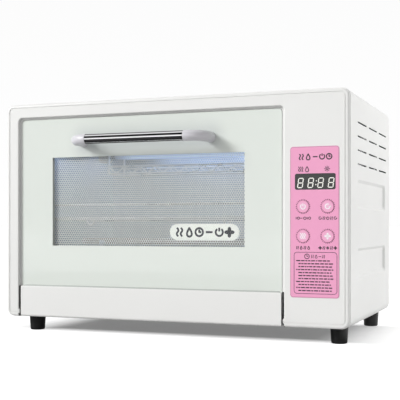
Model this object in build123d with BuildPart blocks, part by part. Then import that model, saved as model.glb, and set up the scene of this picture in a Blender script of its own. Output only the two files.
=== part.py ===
from build123d import *
import os

# Bench-top drying and ultraviolet steriliser cabinet.
# A sheet-metal case on four rubber feet holds a steel chamber on the left and a bay for the
# electronics on the right. A glass door, hinged along its bottom edge, drops open in front of
# the chamber and draws a wire rack out with it. Four round keys sit in a printed control panel.
#
# Frame: +Z up, the front looks along -Y, +X is the side with the controls. The origin is the
# middle of the whole object's footprint, on the surface that the feet stand on. Millimetres.

# ---- Driving dimensions: case --------------------------------------------------------------
CASE_WIDTH = 402.0
CASE_HEIGHT = 244.5
CASE_DEPTH = 238.0
CORNER_RADIUS = 9.0
SHEET = 1.2
FOOT_HEIGHT = 17.2

FACE_THICKNESS = 3.4
FACE_EDGE_RADIUS = 2.6
GROOVE_INSET = 4.0
GROOVE_WIDTH = 1.2
GROOVE_DEPTH = 0.6
SEAM = 0.6
TONGUE_WALL = 1.5
TONGUE_LENGTH = 10.0
FRAME_INSET = 0.3

# ---- Driving dimensions: door opening and door ----------------------------------------------
OPENING_LEFT = -185.0
OPENING_RIGHT = 132.5
OPENING_TOP = 228.7
OPENING_RADIUS = 5.0
FLANGE_LIFT = 1.4
LEDGE_DEPTH = 4.4
LEDGE_BACK = 9.0
LEDGE_GAP = 0.4
MOUTH_EDGE_RADIUS = 0.9
SURROUND_WALL = 2.0
FLANGE_DEPTH = 14.6
FLANGE_SHEET = 1.0

DOOR_LEFT = -181.7
DOOR_RIGHT = 129.4
DOOR_TOP = 226.4
STRIP_BOTTOM = 0.4
STRIP_TOP = 35.5
STRIP_THICKNESS = 12.0
STRIP_HEEL_RADIUS = 2.6
STRIP_WALL = 2.6
STRIP_TOP_EDGE = 1.0
GLASS_RECESS = 4.0
GLASS_LEFT = -182.2
GLASS_RIGHT = 129.2
GLASS_THICKNESS = 4.0
GLASS_BITE = 7.5
GLASS_RADIUS = 4.0
INNER_FRAME_DEPTH = 5.0
INNER_FRAME_SHEET = 1.2
SEAL_WIDTH = 5.0
SEAL_THICKNESS = 1.4
SEAL_RADIUS = 6.0

WINDOW_LEFT = -142.0
WINDOW_RIGHT = 88.5
WINDOW_BOTTOM = 82.0
WINDOW_TOP = 182.3
SCREEN_MARGIN = 5.0
SCREEN_THICKNESS = 0.4

HINGE_DEPTH = 4.5
HINGE_HEIGHT = 6.2
PIN_RADIUS = 2.0
PIN_CLEARANCE = 0.05
PIN_BITE = 12.0
BUSH_RADIUS = 3.5
BUSH_LENGTH = 6.0
BUSH_FLANGE_RADIUS = 4.4
BUSH_FLANGE = 1.0

# ---- Driving dimensions: handle --------------------------------------------------------------
HANDLE_CENTRE = -26.0
HANDLE_HEIGHT = 199.0
HANDLE_STANDOFF = 25.0
BAR_RADIUS = 5.4
BAR_HALF = 57.6
SPIGOT_RADIUS = 3.5
SPIGOT_LENGTH = 6.0
ARM_RADIUS = 5.7
ARM_BEND = 18.6
ARM_BEND_RADIUS = 17.0
ARM_FOOT_RADIUS = 5.95
ARM_FOOT_LENGTH = 9.0

# ---- Driving dimensions: control panel -------------------------------------------------------
PANEL_LEFT = 139.3
PANEL_RIGHT = 190.2
PANEL_BOTTOM = 31.3
PANEL_TOP = 185.5
PANEL_RADIUS = 3.0
PANEL_SUNK = 0.4
PANEL_PROUD = 0.3
DISPLAY_LEFT = 144.2
DISPLAY_RIGHT = 186.6
DISPLAY_BOTTOM = 141.4
DISPLAY_TOP = 157.9
DISPLAY_RADIUS = 2.0
LENS_THICKNESS = 1.8
KEY_LEFT = 152.8
KEY_RIGHT = 178.4
KEY_UPPER = 124.3
KEY_LOWER = 94.1
KEY_RADIUS = 6.3
KEY_PROUD = 0.8
KEY_SUNK = 1.5
KEY_TRAVEL = 0.5
KEY_WELL = 2.2
KEY_GAP = 0.3
STEM_RADIUS = 2.4
BOARD_DEPTH = 15.0
BOARD_THICKNESS = 1.6
BOARD_CORNER = 1.0
BOARD_SCREW_INSET = 4.0
BOARD_SCREW_RADIUS = 1.5
BOARD_SCREW_HEAD = 2.8
BOARD_BOSS_RADIUS = 3.2
SWITCH_HEIGHT = 5.0
PLUNGER_RADIUS = 1.75
PLUNGER_HEIGHT = 1.0

# ---- Driving dimensions: chamber and what it holds -------------------------------------------
CHAMBER_LEFT = -171.0
CHAMBER_RIGHT = 119.0
CHAMBER_BOTTOM = 44.0
CHAMBER_TOP = 216.0
CHAMBER_REAR = 215.0
CHAMBER_SHEET = 1.0

RACK_HEIGHT = 112.9
RACK_RAIL_HEIGHT = 128.7
RACK_FRONT = 20.0
RACK_REAR = 205.0
RACK_WIRE = 2.0
RACK_REAR_WIRE = 1.8
RACK_SIDE_GAP = 5.0
RACK_FLOOR_WIRE = 1.1
RACK_FLOOR_COUNT = 15
CROSS_WIRE_DROP = 1.7
RACK_RAIL_WIRE = 1.4
RACK_BEND = 9.0
GUIDE_GAP = 0.4
GUIDE_SHEET = 1.0
GUIDE_REACH = 9.0

LAMP_DEPTH = 150.0
LAMP_HEIGHT = 197.0
LAMP_RADIUS = 7.75
LAMP_HALF = 119.0
LAMP_CAP_LENGTH = 12.0
LAMP_PIN_RADIUS = 1.2
LAMP_PIN_LENGTH = 6.0
LAMP_PIN_SPACING = 5.0
GUARD_HALF_DEPTH = 22.0
GUARD_BOTTOM = 170.5
GUARD_TOP = 179.0
GUARD_WIRE = 1.1
GUARD_THIN_WIRE = 0.8
GUARD_POST = 1.5
GUARD_PITCH = 20.0

HEATER_HEIGHT = 86.0
HEATER_RADIUS = 3.3
HEATER_FRONT = 70.0
HEATER_REAR = 160.0
HEATER_LEFT = -145.0
HEATER_BEND = 20.0

FAN_DEPTH = 128.0
FAN_HEIGHT = 152.0
FAN_SIZE = 60.0
FAN_THICKNESS = 15.0
FAN_BORE = 28.5
FAN_HUB_RADIUS = 12.0
FAN_TIP_RADIUS = 27.0
FAN_BLADES = 7
FAN_SHAFT_RADIUS = 1.5
FAN_SHAFT_CLEARANCE = 0.05

# ---- Driving dimensions: sides, rear and feet ------------------------------------------------
RECESS_FRONT = 41.0
RECESS_REAR = 207.0
RECESS_BANDS = ((49.6, 80.8), (122.0, 153.0))
RECESS_DEPTH = 2.4
RECESS_SLOPE = 2.8
RECESS_RADIUS = 4.0
SLOT_LENGTH = 48.5
SLOT_HEIGHT = 1.7
SLOT_PITCH_Y = 62.5
SLOT_PITCH_Z = 14.6
SLOT_CENTRE_DEPTH = 127.0
SLOT_CENTRE_HEIGHT = 191.1

FOOT_LEFT = -175.5
FOOT_RIGHT = 184.3
FOOT_FRONT = 27.0
FOOT_REAR = 205.0
FOOT_TOP_RADIUS = 9.5
FOOT_BOTTOM_RADIUS = 8.3
FOOT_EDGE = 1.6
FOOT_POCKET_RADIUS = 4.0
FOOT_POCKET_DEPTH = 9.0
SCREW_RADIUS = 2.0
SCREW_CLEARANCE = 0.15
SCREW_HEAD_RADIUS = 3.6
SCREW_HEAD_HEIGHT = 2.2
RECESS_SLOT_LENGTH = 4.2
RECESS_SLOT_WIDTH = 0.9
RECESS_SLOT_DEPTH = 1.2

UNDERSIDE_GAP = 170.0
REAR_LIP_WIDTH = 14.0
REAR_INSET = 1.5
REAR_SCREW_INSET = 8.5
GLAND_X = 166.0
GLAND_HEIGHT = 32.0
GLAND_PROUD = 6.0
GLAND_BODY_RADIUS = 7.0
GLAND_FLANGE_RADIUS = 10.5
GLAND_BORE_RADIUS = 3.7
GLAND_INSIDE = 12.0

# ---- Places worked out from the driving dimensions -------------------------------------------
CASE_HALF = CASE_WIDTH / 2
HANDLE_REACH = HANDLE_STANDOFF + ARM_RADIUS
FRONT_Y = -(CASE_DEPTH + GLAND_PROUD - HANDLE_REACH) / 2
FOOT_PLACES = {
    "front_left": (FOOT_LEFT, FOOT_FRONT),
    "front_right": (FOOT_RIGHT, FOOT_FRONT),
    "rear_left": (FOOT_LEFT, FOOT_REAR),
    "rear_right": (FOOT_RIGHT, FOOT_REAR),
}
KEY_PLACES = {
    "upper_left": (KEY_LEFT, KEY_UPPER),
    "upper_right": (KEY_RIGHT, KEY_UPPER),
    "lower_left": (KEY_LEFT, KEY_LOWER),
    "lower_right": (KEY_RIGHT, KEY_LOWER),
}


def behind(depth):
    """Y of a point this far behind the plane of the case's front."""
    return FRONT_Y + depth


def above(height):
    """Z of a point this far above the underside of the case."""
    return FOOT_HEIGHT + height


def depths(near, far):
    """Low and high Y between two depths behind the front."""
    return (behind(near), behind(far))


def heights(low, high):
    """Low and high Z between two heights above the underside of the case."""
    return (above(low), above(high))


def front_plane(depth):
    """Upright plane behind the front: its axes are X and Z, and it faces out of the front."""
    return Plane.XZ.offset(-behind(depth))


def side_plane(x):
    """Upright plane across the case: its axes are Y and Z, and it faces +X."""
    return Plane.YZ.offset(x)


def middle(span):
    """Half-way point of a (low, high) pair."""
    return (span[0] + span[1]) / 2


def length(span):
    """Distance between the ends of a (low, high) pair."""
    return span[1] - span[0]


def grown(span, by):
    """A (low, high) pair with both ends moved outwards."""
    return (span[0] - by, span[1] + by)


def block(x, y, z, mode=Mode.ADD):
    """Box in the part being built, from its low and high ends along X, Y and Z."""
    with Locations((middle(x), middle(y), middle(z))):
        Box(length(x), length(y), length(z), mode=mode)


def patch(across, up, radius=0.0, mode=Mode.ADD):
    """Rectangle in the sketch being drawn, from its low and high ends, corners rounded."""
    with Locations((middle(across), middle(up))):
        if radius > 0:
            RectangleRounded(length(across), length(up), radius, mode=mode)
        else:
            Rectangle(length(across), length(up), mode=mode)


def rod_x(radius, x, depth, height, mode=Mode.ADD):
    """Round rod along X in the part being built, between two ends."""
    with Locations((middle(x), behind(depth), above(height))):
        Cylinder(radius, length(x), rotation=(0, 90, 0), mode=mode)


def rod_y(radius, x, near, far, height, mode=Mode.ADD):
    """Round rod along Y in the part being built, between two depths."""
    with Locations((x, middle(depths(near, far)), above(height))):
        Cylinder(radius, far - near, rotation=(90, 0, 0), mode=mode)


def rod_z(radius, x, depth, z, mode=Mode.ADD):
    """Upright round rod in the part being built, between two levels."""
    with Locations((x, behind(depth), middle(z))):
        Cylinder(radius, length(z), mode=mode)


def cross_recess(spots):
    """Crossed slots for a screwdriver in the sketch being drawn, one pair at each spot."""
    with Locations(*spots):
        Rectangle(RECESS_SLOT_LENGTH, RECESS_SLOT_WIDTH)
        Rectangle(RECESS_SLOT_WIDTH, RECESS_SLOT_LENGTH)


CASE_X = (-CASE_HALF, CASE_HALF)
CASE_Z = heights(0, CASE_HEIGHT)
OPENING_X = (OPENING_LEFT, OPENING_RIGHT)
OPENING_Z = heights(0, OPENING_TOP)
LEDGE_X = grown((GLASS_LEFT, GLASS_RIGHT), LEDGE_GAP)
LEDGE_Z = heights(STRIP_TOP + LEDGE_GAP, DOOR_TOP + LEDGE_GAP)
DOOR_X = (DOOR_LEFT, DOOR_RIGHT)
PANEL_X = (PANEL_LEFT, PANEL_RIGHT)
PANEL_Z = heights(PANEL_BOTTOM, PANEL_TOP)
DISPLAY_X = (DISPLAY_LEFT, DISPLAY_RIGHT)
DISPLAY_Z = heights(DISPLAY_BOTTOM, DISPLAY_TOP)
CHAMBER_X = (CHAMBER_LEFT, CHAMBER_RIGHT)
CHAMBER_Z = heights(CHAMBER_BOTTOM, CHAMBER_TOP)
WINDOW_X = (WINDOW_LEFT, WINDOW_RIGHT)
WINDOW_Z = heights(WINDOW_BOTTOM, WINDOW_TOP)
KEY_SPOTS = [(x, above(height)) for x, height in KEY_PLACES.values()]
BOARD_X = (138.0, 191.0)
BOARD_Z = heights(80.0, 166.0)
BOARD_SPOTS = [
    (x, z)
    for x in grown(BOARD_X, -BOARD_SCREW_INSET)
    for z in grown(BOARD_Z, -BOARD_SCREW_INSET)
]
PANEL_HOLE_RADIUS = KEY_RADIUS + KEY_GAP
REAR_SPOTS = [
    (x, z)
    for x in (-CASE_HALF + REAR_SCREW_INSET, 0.0, CASE_HALF - REAR_SCREW_INSET)
    for z in grown(CASE_Z, -REAR_SCREW_INSET)
]

os.makedirs("parts", exist_ok=True)

# ---- Front frame: face plate, tongue inside the wrap, surround of the door opening -------------
with BuildPart() as front_frame:
    with BuildSketch(front_plane(0)):
        patch(
            grown(CASE_X, -FRAME_INSET),
            grown(CASE_Z, -FRAME_INSET),
            CORNER_RADIUS - FRAME_INSET,
        )
    extrude(amount=-FACE_THICKNESS)
    fillet(front_frame.faces().sort_by(Axis.Y)[0].edges(), FACE_EDGE_RADIUS)
    # Shallow groove that runs round the face just inside its rounded edge
    with BuildSketch(front_plane(0)):
        patch(
            grown(CASE_X, -GROOVE_INSET),
            grown(CASE_Z, -GROOVE_INSET),
            CORNER_RADIUS - GROOVE_INSET,
        )
        patch(
            grown(CASE_X, -GROOVE_INSET - GROOVE_WIDTH),
            grown(CASE_Z, -GROOVE_INSET - GROOVE_WIDTH),
            CORNER_RADIUS - GROOVE_INSET - GROOVE_WIDTH,
            Mode.SUBTRACT,
        )
    extrude(amount=-GROOVE_DEPTH, mode=Mode.SUBTRACT)
    tongue_inset = SHEET + FRAME_INSET
    with BuildSketch(front_plane(FACE_THICKNESS)):
        patch(
            grown(CASE_X, -tongue_inset),
            grown(CASE_Z, -tongue_inset),
            CORNER_RADIUS - tongue_inset,
        )
        patch(
            grown(CASE_X, -tongue_inset - TONGUE_WALL),
            grown(CASE_Z, -tongue_inset - TONGUE_WALL),
            CORNER_RADIUS - tongue_inset - TONGUE_WALL,
            Mode.SUBTRACT,
        )
        patch(
            (OPENING_LEFT, OPENING_RIGHT),
            (CASE_Z[0], CASE_Z[0] + CORNER_RADIUS),
            mode=Mode.SUBTRACT,
        )
    extrude(amount=-TONGUE_LENGTH)
    with BuildSketch(front_plane(FACE_THICKNESS)):
        patch(
            grown(OPENING_X, SURROUND_WALL),
            (above(FLANGE_LIFT), OPENING_Z[1] + SURROUND_WALL),
        )
    extrude(amount=-(FLANGE_DEPTH - FACE_THICKNESS))
    # Bosses that carry the control board
    with BuildSketch(front_plane(FACE_THICKNESS)):
        with Locations(*BOARD_SPOTS):
            Circle(BOARD_BOSS_RADIUS)
    extrude(amount=-(BOARD_DEPTH - FACE_THICKNESS))
    with BuildSketch(front_plane(0)) as mouth:
        patch(OPENING_X, OPENING_Z)
        fillet(mouth.vertices().group_by(Axis.Y)[-1], OPENING_RADIUS)
    extrude(amount=-FLANGE_DEPTH, mode=Mode.SUBTRACT)
    face_edges = front_frame.edges().group_by(Axis.Y)[0]
    mouth_edges = face_edges.filter_by_position(
        Axis.X, OPENING_LEFT - MOUTH_EDGE_RADIUS, OPENING_RIGHT + MOUTH_EDGE_RADIUS
    ).filter_by_position(
        Axis.Z, CASE_Z[0] + GROOVE_INSET + GROOVE_WIDTH, OPENING_Z[1] + MOUTH_EDGE_RADIUS
    )
    fillet(mouth_edges, MOUTH_EDGE_RADIUS)
    # Ledge that closes the space round the glass, above the door's bottom strip
    with BuildSketch(front_plane(LEDGE_DEPTH)):
        patch(
            grown(OPENING_X, SURROUND_WALL / 2),
            (LEDGE_Z[0], OPENING_Z[1] + SURROUND_WALL / 2),
        )
        with BuildSketch(front_plane(LEDGE_DEPTH), mode=Mode.SUBTRACT) as gap_outline:
            patch(LEDGE_X, LEDGE_Z)
            fillet(gap_outline.vertices().group_by(Axis.Y)[-1], GLASS_RADIUS + LEDGE_GAP)
    extrude(amount=-(LEDGE_BACK - LEDGE_DEPTH))
    # Bed of the printed panel, display opening and key wells
    with BuildSketch(front_plane(0)):
        patch(PANEL_X, PANEL_Z, PANEL_RADIUS)
    extrude(amount=-PANEL_SUNK, mode=Mode.SUBTRACT)
    with BuildSketch(front_plane(0)):
        patch(DISPLAY_X, DISPLAY_Z, DISPLAY_RADIUS)
    extrude(amount=-FACE_THICKNESS, mode=Mode.SUBTRACT)
    with Locations(front_plane(0)):
        with Locations(*KEY_SPOTS):
            CounterBoreHole(
                STEM_RADIUS + KEY_GAP, PANEL_HOLE_RADIUS, KEY_WELL, depth=FACE_THICKNESS
            )
    for low, high in (
        (OPENING_LEFT - BUSH_LENGTH, OPENING_LEFT),
        (OPENING_RIGHT, OPENING_RIGHT + BUSH_LENGTH),
    ):
        rod_x(BUSH_RADIUS, (low, high), HINGE_DEPTH, HINGE_HEIGHT, Mode.SUBTRACT)
front_frame.part.label = "front_frame"
export_step(front_frame.part, "parts/front_frame.step")

# ---- Outer wrap: one sheet folded round the top, the sides and both edges of the underside -----
WRAP_FRONT = FACE_THICKNESS + SEAM
BASE_LEADING = FLANGE_DEPTH + SEAM
REAR_LIP_DEPTH = CASE_DEPTH - 2 * SHEET
with BuildPart() as outer_wrap:
    with BuildSketch(front_plane(WRAP_FRONT)):
        patch(CASE_X, CASE_Z, CORNER_RADIUS)
        patch(
            grown(CASE_X, -SHEET), grown(CASE_Z, -SHEET), CORNER_RADIUS - SHEET, Mode.SUBTRACT
        )
    extrude(amount=-(CASE_DEPTH - WRAP_FRONT))
    # Turned-in lip that the rear panel lies against
    with BuildSketch(front_plane(REAR_LIP_DEPTH)):
        patch(CASE_X, CASE_Z, CORNER_RADIUS)
        patch(
            grown(CASE_X, -REAR_LIP_WIDTH), grown(CASE_Z, -REAR_LIP_WIDTH), mode=Mode.SUBTRACT
        )
    extrude(amount=-SHEET)
    block(
        (-UNDERSIDE_GAP, UNDERSIDE_GAP),
        depths(WRAP_FRONT, REAR_LIP_DEPTH),
        (CASE_Z[0], CASE_Z[0] + SHEET),
        Mode.SUBTRACT,
    )
    block(
        (OPENING_LEFT, -UNDERSIDE_GAP),
        depths(WRAP_FRONT, BASE_LEADING),
        (CASE_Z[0], CASE_Z[0] + SHEET),
        Mode.SUBTRACT,
    )
    for side in (-1, 1):
        for low, high in RECESS_BANDS:
            outline = (depths(RECESS_FRONT, RECESS_REAR), heights(low, high))
            floor = [grown(span, -RECESS_SLOPE) for span in outline]
            with BuildSketch(side_plane(side * (CASE_HALF - SHEET))):
                patch(*outline, RECESS_RADIUS)
            with BuildSketch(side_plane(side * (CASE_HALF - SHEET - RECESS_DEPTH))):
                patch(*floor, RECESS_RADIUS)
            loft()
            with BuildSketch(side_plane(side * CASE_HALF)):
                patch(*outline, RECESS_RADIUS)
            with BuildSketch(side_plane(side * (CASE_HALF - RECESS_DEPTH))):
                patch(*floor, RECESS_RADIUS)
            loft(mode=Mode.SUBTRACT)
        with BuildSketch(side_plane(side * CASE_HALF)):
            with Locations((behind(SLOT_CENTRE_DEPTH), above(SLOT_CENTRE_HEIGHT))):
                with GridLocations(SLOT_PITCH_Y, SLOT_PITCH_Z, 3, 4):
                    SlotOverall(SLOT_LENGTH, SLOT_HEIGHT)
        extrude(amount=-side * 2 * SHEET, mode=Mode.SUBTRACT)
    with BuildSketch(Plane.XY.offset(CASE_Z[0])):
        with Locations(*[(x, behind(depth)) for x, depth in FOOT_PLACES.values()]):
            Circle(SCREW_RADIUS + SCREW_CLEARANCE)
    extrude(amount=SHEET, mode=Mode.SUBTRACT)
    with BuildSketch(front_plane(REAR_LIP_DEPTH)):
        with Locations(*REAR_SPOTS):
            Circle(SCREW_RADIUS)
    extrude(amount=-SHEET, mode=Mode.SUBTRACT)
outer_wrap.part.label = "outer_wrap"
export_step(outer_wrap.part, "parts/outer_wrap.step")

# ---- Base plate: closes the underside; its raised edges lie on the wrap's lips ------------------
BASE_FIT = 0.2
BASE_OVERLAP = 20.0
BASE_FRONT = 18.0
BASE_REAR = 232.0
BASE_EDGE_LAP = 5.0
BASE_SLOT_LENGTH = 40.0
BASE_SLOT_WIDTH = 4.0
BASE_SLOT_PITCH_X = 60.0
BASE_SLOT_PITCH_Y = 14.0
BASE_SLOT_COLUMNS = 4
BASE_SLOT_ROWS = 6
with BuildPart() as base_plate:
    block(
        grown((-UNDERSIDE_GAP, UNDERSIDE_GAP), -BASE_FIT),
        depths(BASE_LEADING, REAR_LIP_DEPTH - BASE_FIT),
        (CASE_Z[0], CASE_Z[0] + SHEET),
    )
    for side in (-1, 1):
        edge = (side * (UNDERSIDE_GAP - BASE_EDGE_LAP), side * (UNDERSIDE_GAP + BASE_OVERLAP))
        block(
            (min(edge), max(edge)),
            depths(BASE_FRONT, BASE_REAR),
            (CASE_Z[0] + SHEET, CASE_Z[0] + 2 * SHEET),
        )
    with BuildSketch(Plane.XY.offset(CASE_Z[0])):
        with Locations((0, behind(CASE_DEPTH / 2))):
            with GridLocations(
                BASE_SLOT_PITCH_X, BASE_SLOT_PITCH_Y, BASE_SLOT_COLUMNS, BASE_SLOT_ROWS
            ):
                SlotOverall(BASE_SLOT_LENGTH, BASE_SLOT_WIDTH)
    extrude(amount=SHEET, mode=Mode.SUBTRACT)
    with BuildSketch(Plane.XY.offset(CASE_Z[0])):
        with Locations(*[(x, behind(depth)) for x, depth in FOOT_PLACES.values()]):
            Circle(SCREW_RADIUS + SCREW_CLEARANCE)
    extrude(amount=2 * SHEET, mode=Mode.SUBTRACT)
base_plate.part.label = "base_plate"
export_step(base_plate.part, "parts/base_plate.step")

# ---- Rear panel: screwed to the wrap's rear lip, with an air outlet behind the electronics ------
OUTLET_HEIGHT = 190.0
OUTLET_PITCH = 8.0
OUTLET_ROWS = 7
OUTLET_LENGTH = 44.0
OUTLET_SLOT = 3.0
OUTLET_SPACING = 62.0
with BuildPart() as rear_panel:
    with BuildSketch(front_plane(CASE_DEPTH - SHEET)):
        patch(
            grown(CASE_X, -REAR_INSET), grown(CASE_Z, -REAR_INSET), CORNER_RADIUS - REAR_INSET
        )
        for x in (GLAND_X, GLAND_X - OUTLET_SPACING):
            with Locations((x, above(OUTLET_HEIGHT))):
                with GridLocations(OUTLET_LENGTH, OUTLET_PITCH, 1, OUTLET_ROWS):
                    SlotOverall(OUTLET_LENGTH, OUTLET_SLOT, mode=Mode.SUBTRACT)
        with Locations((GLAND_X, above(GLAND_HEIGHT))):
            Circle(GLAND_BODY_RADIUS, mode=Mode.SUBTRACT)
        with Locations(*REAR_SPOTS):
            Circle(SCREW_RADIUS, mode=Mode.SUBTRACT)
    extrude(amount=-SHEET)
rear_panel.part.label = "rear_panel"
export_step(rear_panel.part, "parts/rear_panel.step")

CASE_SCREW_BITE = 4.0
with BuildPart() as case_screws:
    with BuildSketch(front_plane(REAR_LIP_DEPTH - CASE_SCREW_BITE)):
        with Locations(*REAR_SPOTS):
            Circle(SCREW_RADIUS)
    extrude(amount=-(CASE_SCREW_BITE + 2 * SHEET))
    with BuildSketch(front_plane(CASE_DEPTH)):
        with Locations(*REAR_SPOTS):
            Circle(SCREW_HEAD_RADIUS)
    extrude(amount=-SCREW_HEAD_HEIGHT)
    fillet(case_screws.faces().group_by(Axis.Y)[-1].edges(), SCREW_HEAD_HEIGHT / 2)
    with BuildSketch(front_plane(CASE_DEPTH + SCREW_HEAD_HEIGHT)):
        cross_recess(REAR_SPOTS)
    extrude(amount=RECESS_SLOT_DEPTH, mode=Mode.SUBTRACT)
case_screws.part.label = "case_screws"
export_step(case_screws.part, "parts/case_screws.step")

# ---- Cord gland: flanged bush and its nut, with a clear bore for a mains lead -------------------
GLAND_NUT_RADIUS = 9.5
GLAND_NUT_THICKNESS = 4.0
GLAND_TAPER = 18.0
GLAND_EDGE = 1.0
with BuildPart() as cord_gland:
    rod_y(
        GLAND_BODY_RADIUS, GLAND_X, CASE_DEPTH - SHEET - GLAND_INSIDE, CASE_DEPTH, GLAND_HEIGHT
    )
    with BuildSketch(front_plane(CASE_DEPTH)):
        with Locations((GLAND_X, above(GLAND_HEIGHT))):
            Circle(GLAND_FLANGE_RADIUS)
    extrude(amount=-GLAND_PROUD, taper=GLAND_TAPER)
    fillet(cord_gland.faces().sort_by(Axis.Y)[-1].edges(), GLAND_EDGE)
    rod_y(
        GLAND_BORE_RADIUS,
        GLAND_X,
        CASE_DEPTH - SHEET - GLAND_INSIDE,
        CASE_DEPTH + GLAND_PROUD,
        GLAND_HEIGHT,
        Mode.SUBTRACT,
    )
cord_gland.part.label = "cord_gland"
export_step(cord_gland.part, "parts/cord_gland.step")

with BuildPart() as gland_nut:
    with BuildSketch(front_plane(CASE_DEPTH - SHEET)):
        with Locations((GLAND_X, above(GLAND_HEIGHT))):
            RegularPolygon(GLAND_NUT_RADIUS, 6)
            Circle(GLAND_BODY_RADIUS, mode=Mode.SUBTRACT)
    extrude(amount=GLAND_NUT_THICKNESS)
gland_nut.part.label = "gland_nut"
export_step(gland_nut.part, "parts/gland_nut.step")

# ---- Feet and their screws ---------------------------------------------------------------------
for place, (foot_x, foot_depth) in FOOT_PLACES.items():
    with BuildPart() as foot:
        with Locations((foot_x, behind(foot_depth), FOOT_HEIGHT / 2)):
            Cone(FOOT_BOTTOM_RADIUS, FOOT_TOP_RADIUS, FOOT_HEIGHT)
        fillet(foot.faces().sort_by(Axis.Z)[0].edges(), FOOT_EDGE)
        rod_z(FOOT_POCKET_RADIUS, foot_x, foot_depth, (0, FOOT_POCKET_DEPTH), Mode.SUBTRACT)
        rod_z(SCREW_RADIUS, foot_x, foot_depth, (0, FOOT_HEIGHT), Mode.SUBTRACT)
    foot.part.label = f"foot_{place}"
    export_step(foot.part, f"parts/foot_{place}.step")

FOOT_SCREW_TOP = CASE_Z[0] + 2 * SHEET
FOOT_NUT_HEIGHT = 3.2
FOOT_SCREW_SPARE = 1.0
with BuildPart() as foot_screws:
    for foot_x, foot_depth in FOOT_PLACES.values():
        rod_z(
            SCREW_HEAD_RADIUS,
            foot_x,
            foot_depth,
            (FOOT_POCKET_DEPTH - SCREW_HEAD_HEIGHT, FOOT_POCKET_DEPTH),
        )
        rod_z(
            SCREW_RADIUS,
            foot_x,
            foot_depth,
            (FOOT_POCKET_DEPTH, FOOT_SCREW_TOP + FOOT_NUT_HEIGHT + FOOT_SCREW_SPARE),
        )
        rod_z(
            SCREW_HEAD_RADIUS,
            foot_x,
            foot_depth,
            (FOOT_SCREW_TOP, FOOT_SCREW_TOP + FOOT_NUT_HEIGHT),
        )
foot_screws.part.label = "foot_screws"
export_step(foot_screws.part, "parts/foot_screws.step")

# ---- Chamber: five flat steel walls and a mouth frame, spot-welded edge to edge -----------------
FLANGE_INSET = 0.4
FLANGE_X = grown(OPENING_X, SURROUND_WALL - FLANGE_INSET)
FLANGE_Z = heights(FLANGE_LIFT, OPENING_TOP + SURROUND_WALL - FLANGE_INSET)
CHAMBER_RUN = depths(FLANGE_DEPTH + FLANGE_SHEET, CHAMBER_REAR)
CHAMBER_OUTER_X = grown(CHAMBER_X, CHAMBER_SHEET)
CHAMBER_OUTER_Z = grown(CHAMBER_Z, CHAMBER_SHEET)
AIR_HOLE_RADIUS = 2.4
AIR_HOLE_PITCH = 7.5
AIR_HOLE_COUNT = 6
HEATER_HOLE_CLEARANCE = 0.4
with BuildPart() as chamber_base:
    block(CHAMBER_OUTER_X, CHAMBER_RUN, (CHAMBER_OUTER_Z[0], CHAMBER_Z[0]))
chamber_base.part.label = "chamber_base"
export_step(chamber_base.part, "parts/chamber_base.step")

with BuildPart() as chamber_roof:
    block(CHAMBER_OUTER_X, CHAMBER_RUN, (CHAMBER_Z[1], CHAMBER_OUTER_Z[1]))
chamber_roof.part.label = "chamber_roof"
export_step(chamber_roof.part, "parts/chamber_roof.step")

with BuildPart() as chamber_back:
    block(CHAMBER_OUTER_X, depths(CHAMBER_REAR, CHAMBER_REAR + CHAMBER_SHEET), CHAMBER_OUTER_Z)
chamber_back.part.label = "chamber_back"
export_step(chamber_back.part, "parts/chamber_back.step")

with BuildPart() as chamber_left_wall:
    block((CHAMBER_OUTER_X[0], CHAMBER_LEFT), CHAMBER_RUN, CHAMBER_Z)
chamber_left_wall.part.label = "chamber_left_wall"
export_step(chamber_left_wall.part, "parts/chamber_left_wall.step")

with BuildPart() as chamber_fan_wall:
    block((CHAMBER_RIGHT, CHAMBER_OUTER_X[1]), CHAMBER_RUN, CHAMBER_Z)
    with BuildSketch(side_plane(CHAMBER_RIGHT)):
        with Locations((behind(FAN_DEPTH), above(FAN_HEIGHT))):
            with GridLocations(AIR_HOLE_PITCH, AIR_HOLE_PITCH, AIR_HOLE_COUNT, AIR_HOLE_COUNT):
                Circle(AIR_HOLE_RADIUS)
        for depth in (HEATER_FRONT, HEATER_REAR):
            with Locations((behind(depth), above(HEATER_HEIGHT))):
                Circle(HEATER_RADIUS + HEATER_HOLE_CLEARANCE)
    extrude(amount=CHAMBER_SHEET, mode=Mode.SUBTRACT)
chamber_fan_wall.part.label = "chamber_fan_wall"
export_step(chamber_fan_wall.part, "parts/chamber_fan_wall.step")

with BuildPart() as chamber_mouth:
    with BuildSketch(front_plane(FLANGE_DEPTH)):
        patch(FLANGE_X, FLANGE_Z, OPENING_RADIUS)
        patch(CHAMBER_X, CHAMBER_Z, mode=Mode.SUBTRACT)
    extrude(amount=-FLANGE_SHEET)
chamber_mouth.part.label = "chamber_mouth"
export_step(chamber_mouth.part, "parts/chamber_mouth.step")

# ---- Rack guides: a folded channel on each chamber wall -----------------------------------------
GUIDE_FRONT = 18.0
GUIDE_REAR = 210.0
guide_low = RACK_HEIGHT - RACK_WIRE - GUIDE_GAP
guide_high = RACK_HEIGHT + RACK_WIRE + GUIDE_GAP
for name, wall, inwards in (("left", CHAMBER_LEFT, 1), ("right", CHAMBER_RIGHT, -1)):
    with BuildPart() as guide:
        reach = sorted((wall, wall + inwards * GUIDE_REACH))
        web = sorted((wall, wall + inwards * GUIDE_SHEET))
        run = depths(GUIDE_FRONT, GUIDE_REAR)
        block(web, run, heights(guide_low - GUIDE_SHEET, guide_high + GUIDE_SHEET))
        block(reach, run, heights(guide_low - GUIDE_SHEET, guide_low))
        block(reach, run, heights(guide_high, guide_high + GUIDE_SHEET))
    guide.part.label = f"rack_guide_{name}"
    export_step(guide.part, f"parts/rack_guide_{name}.step")

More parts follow.
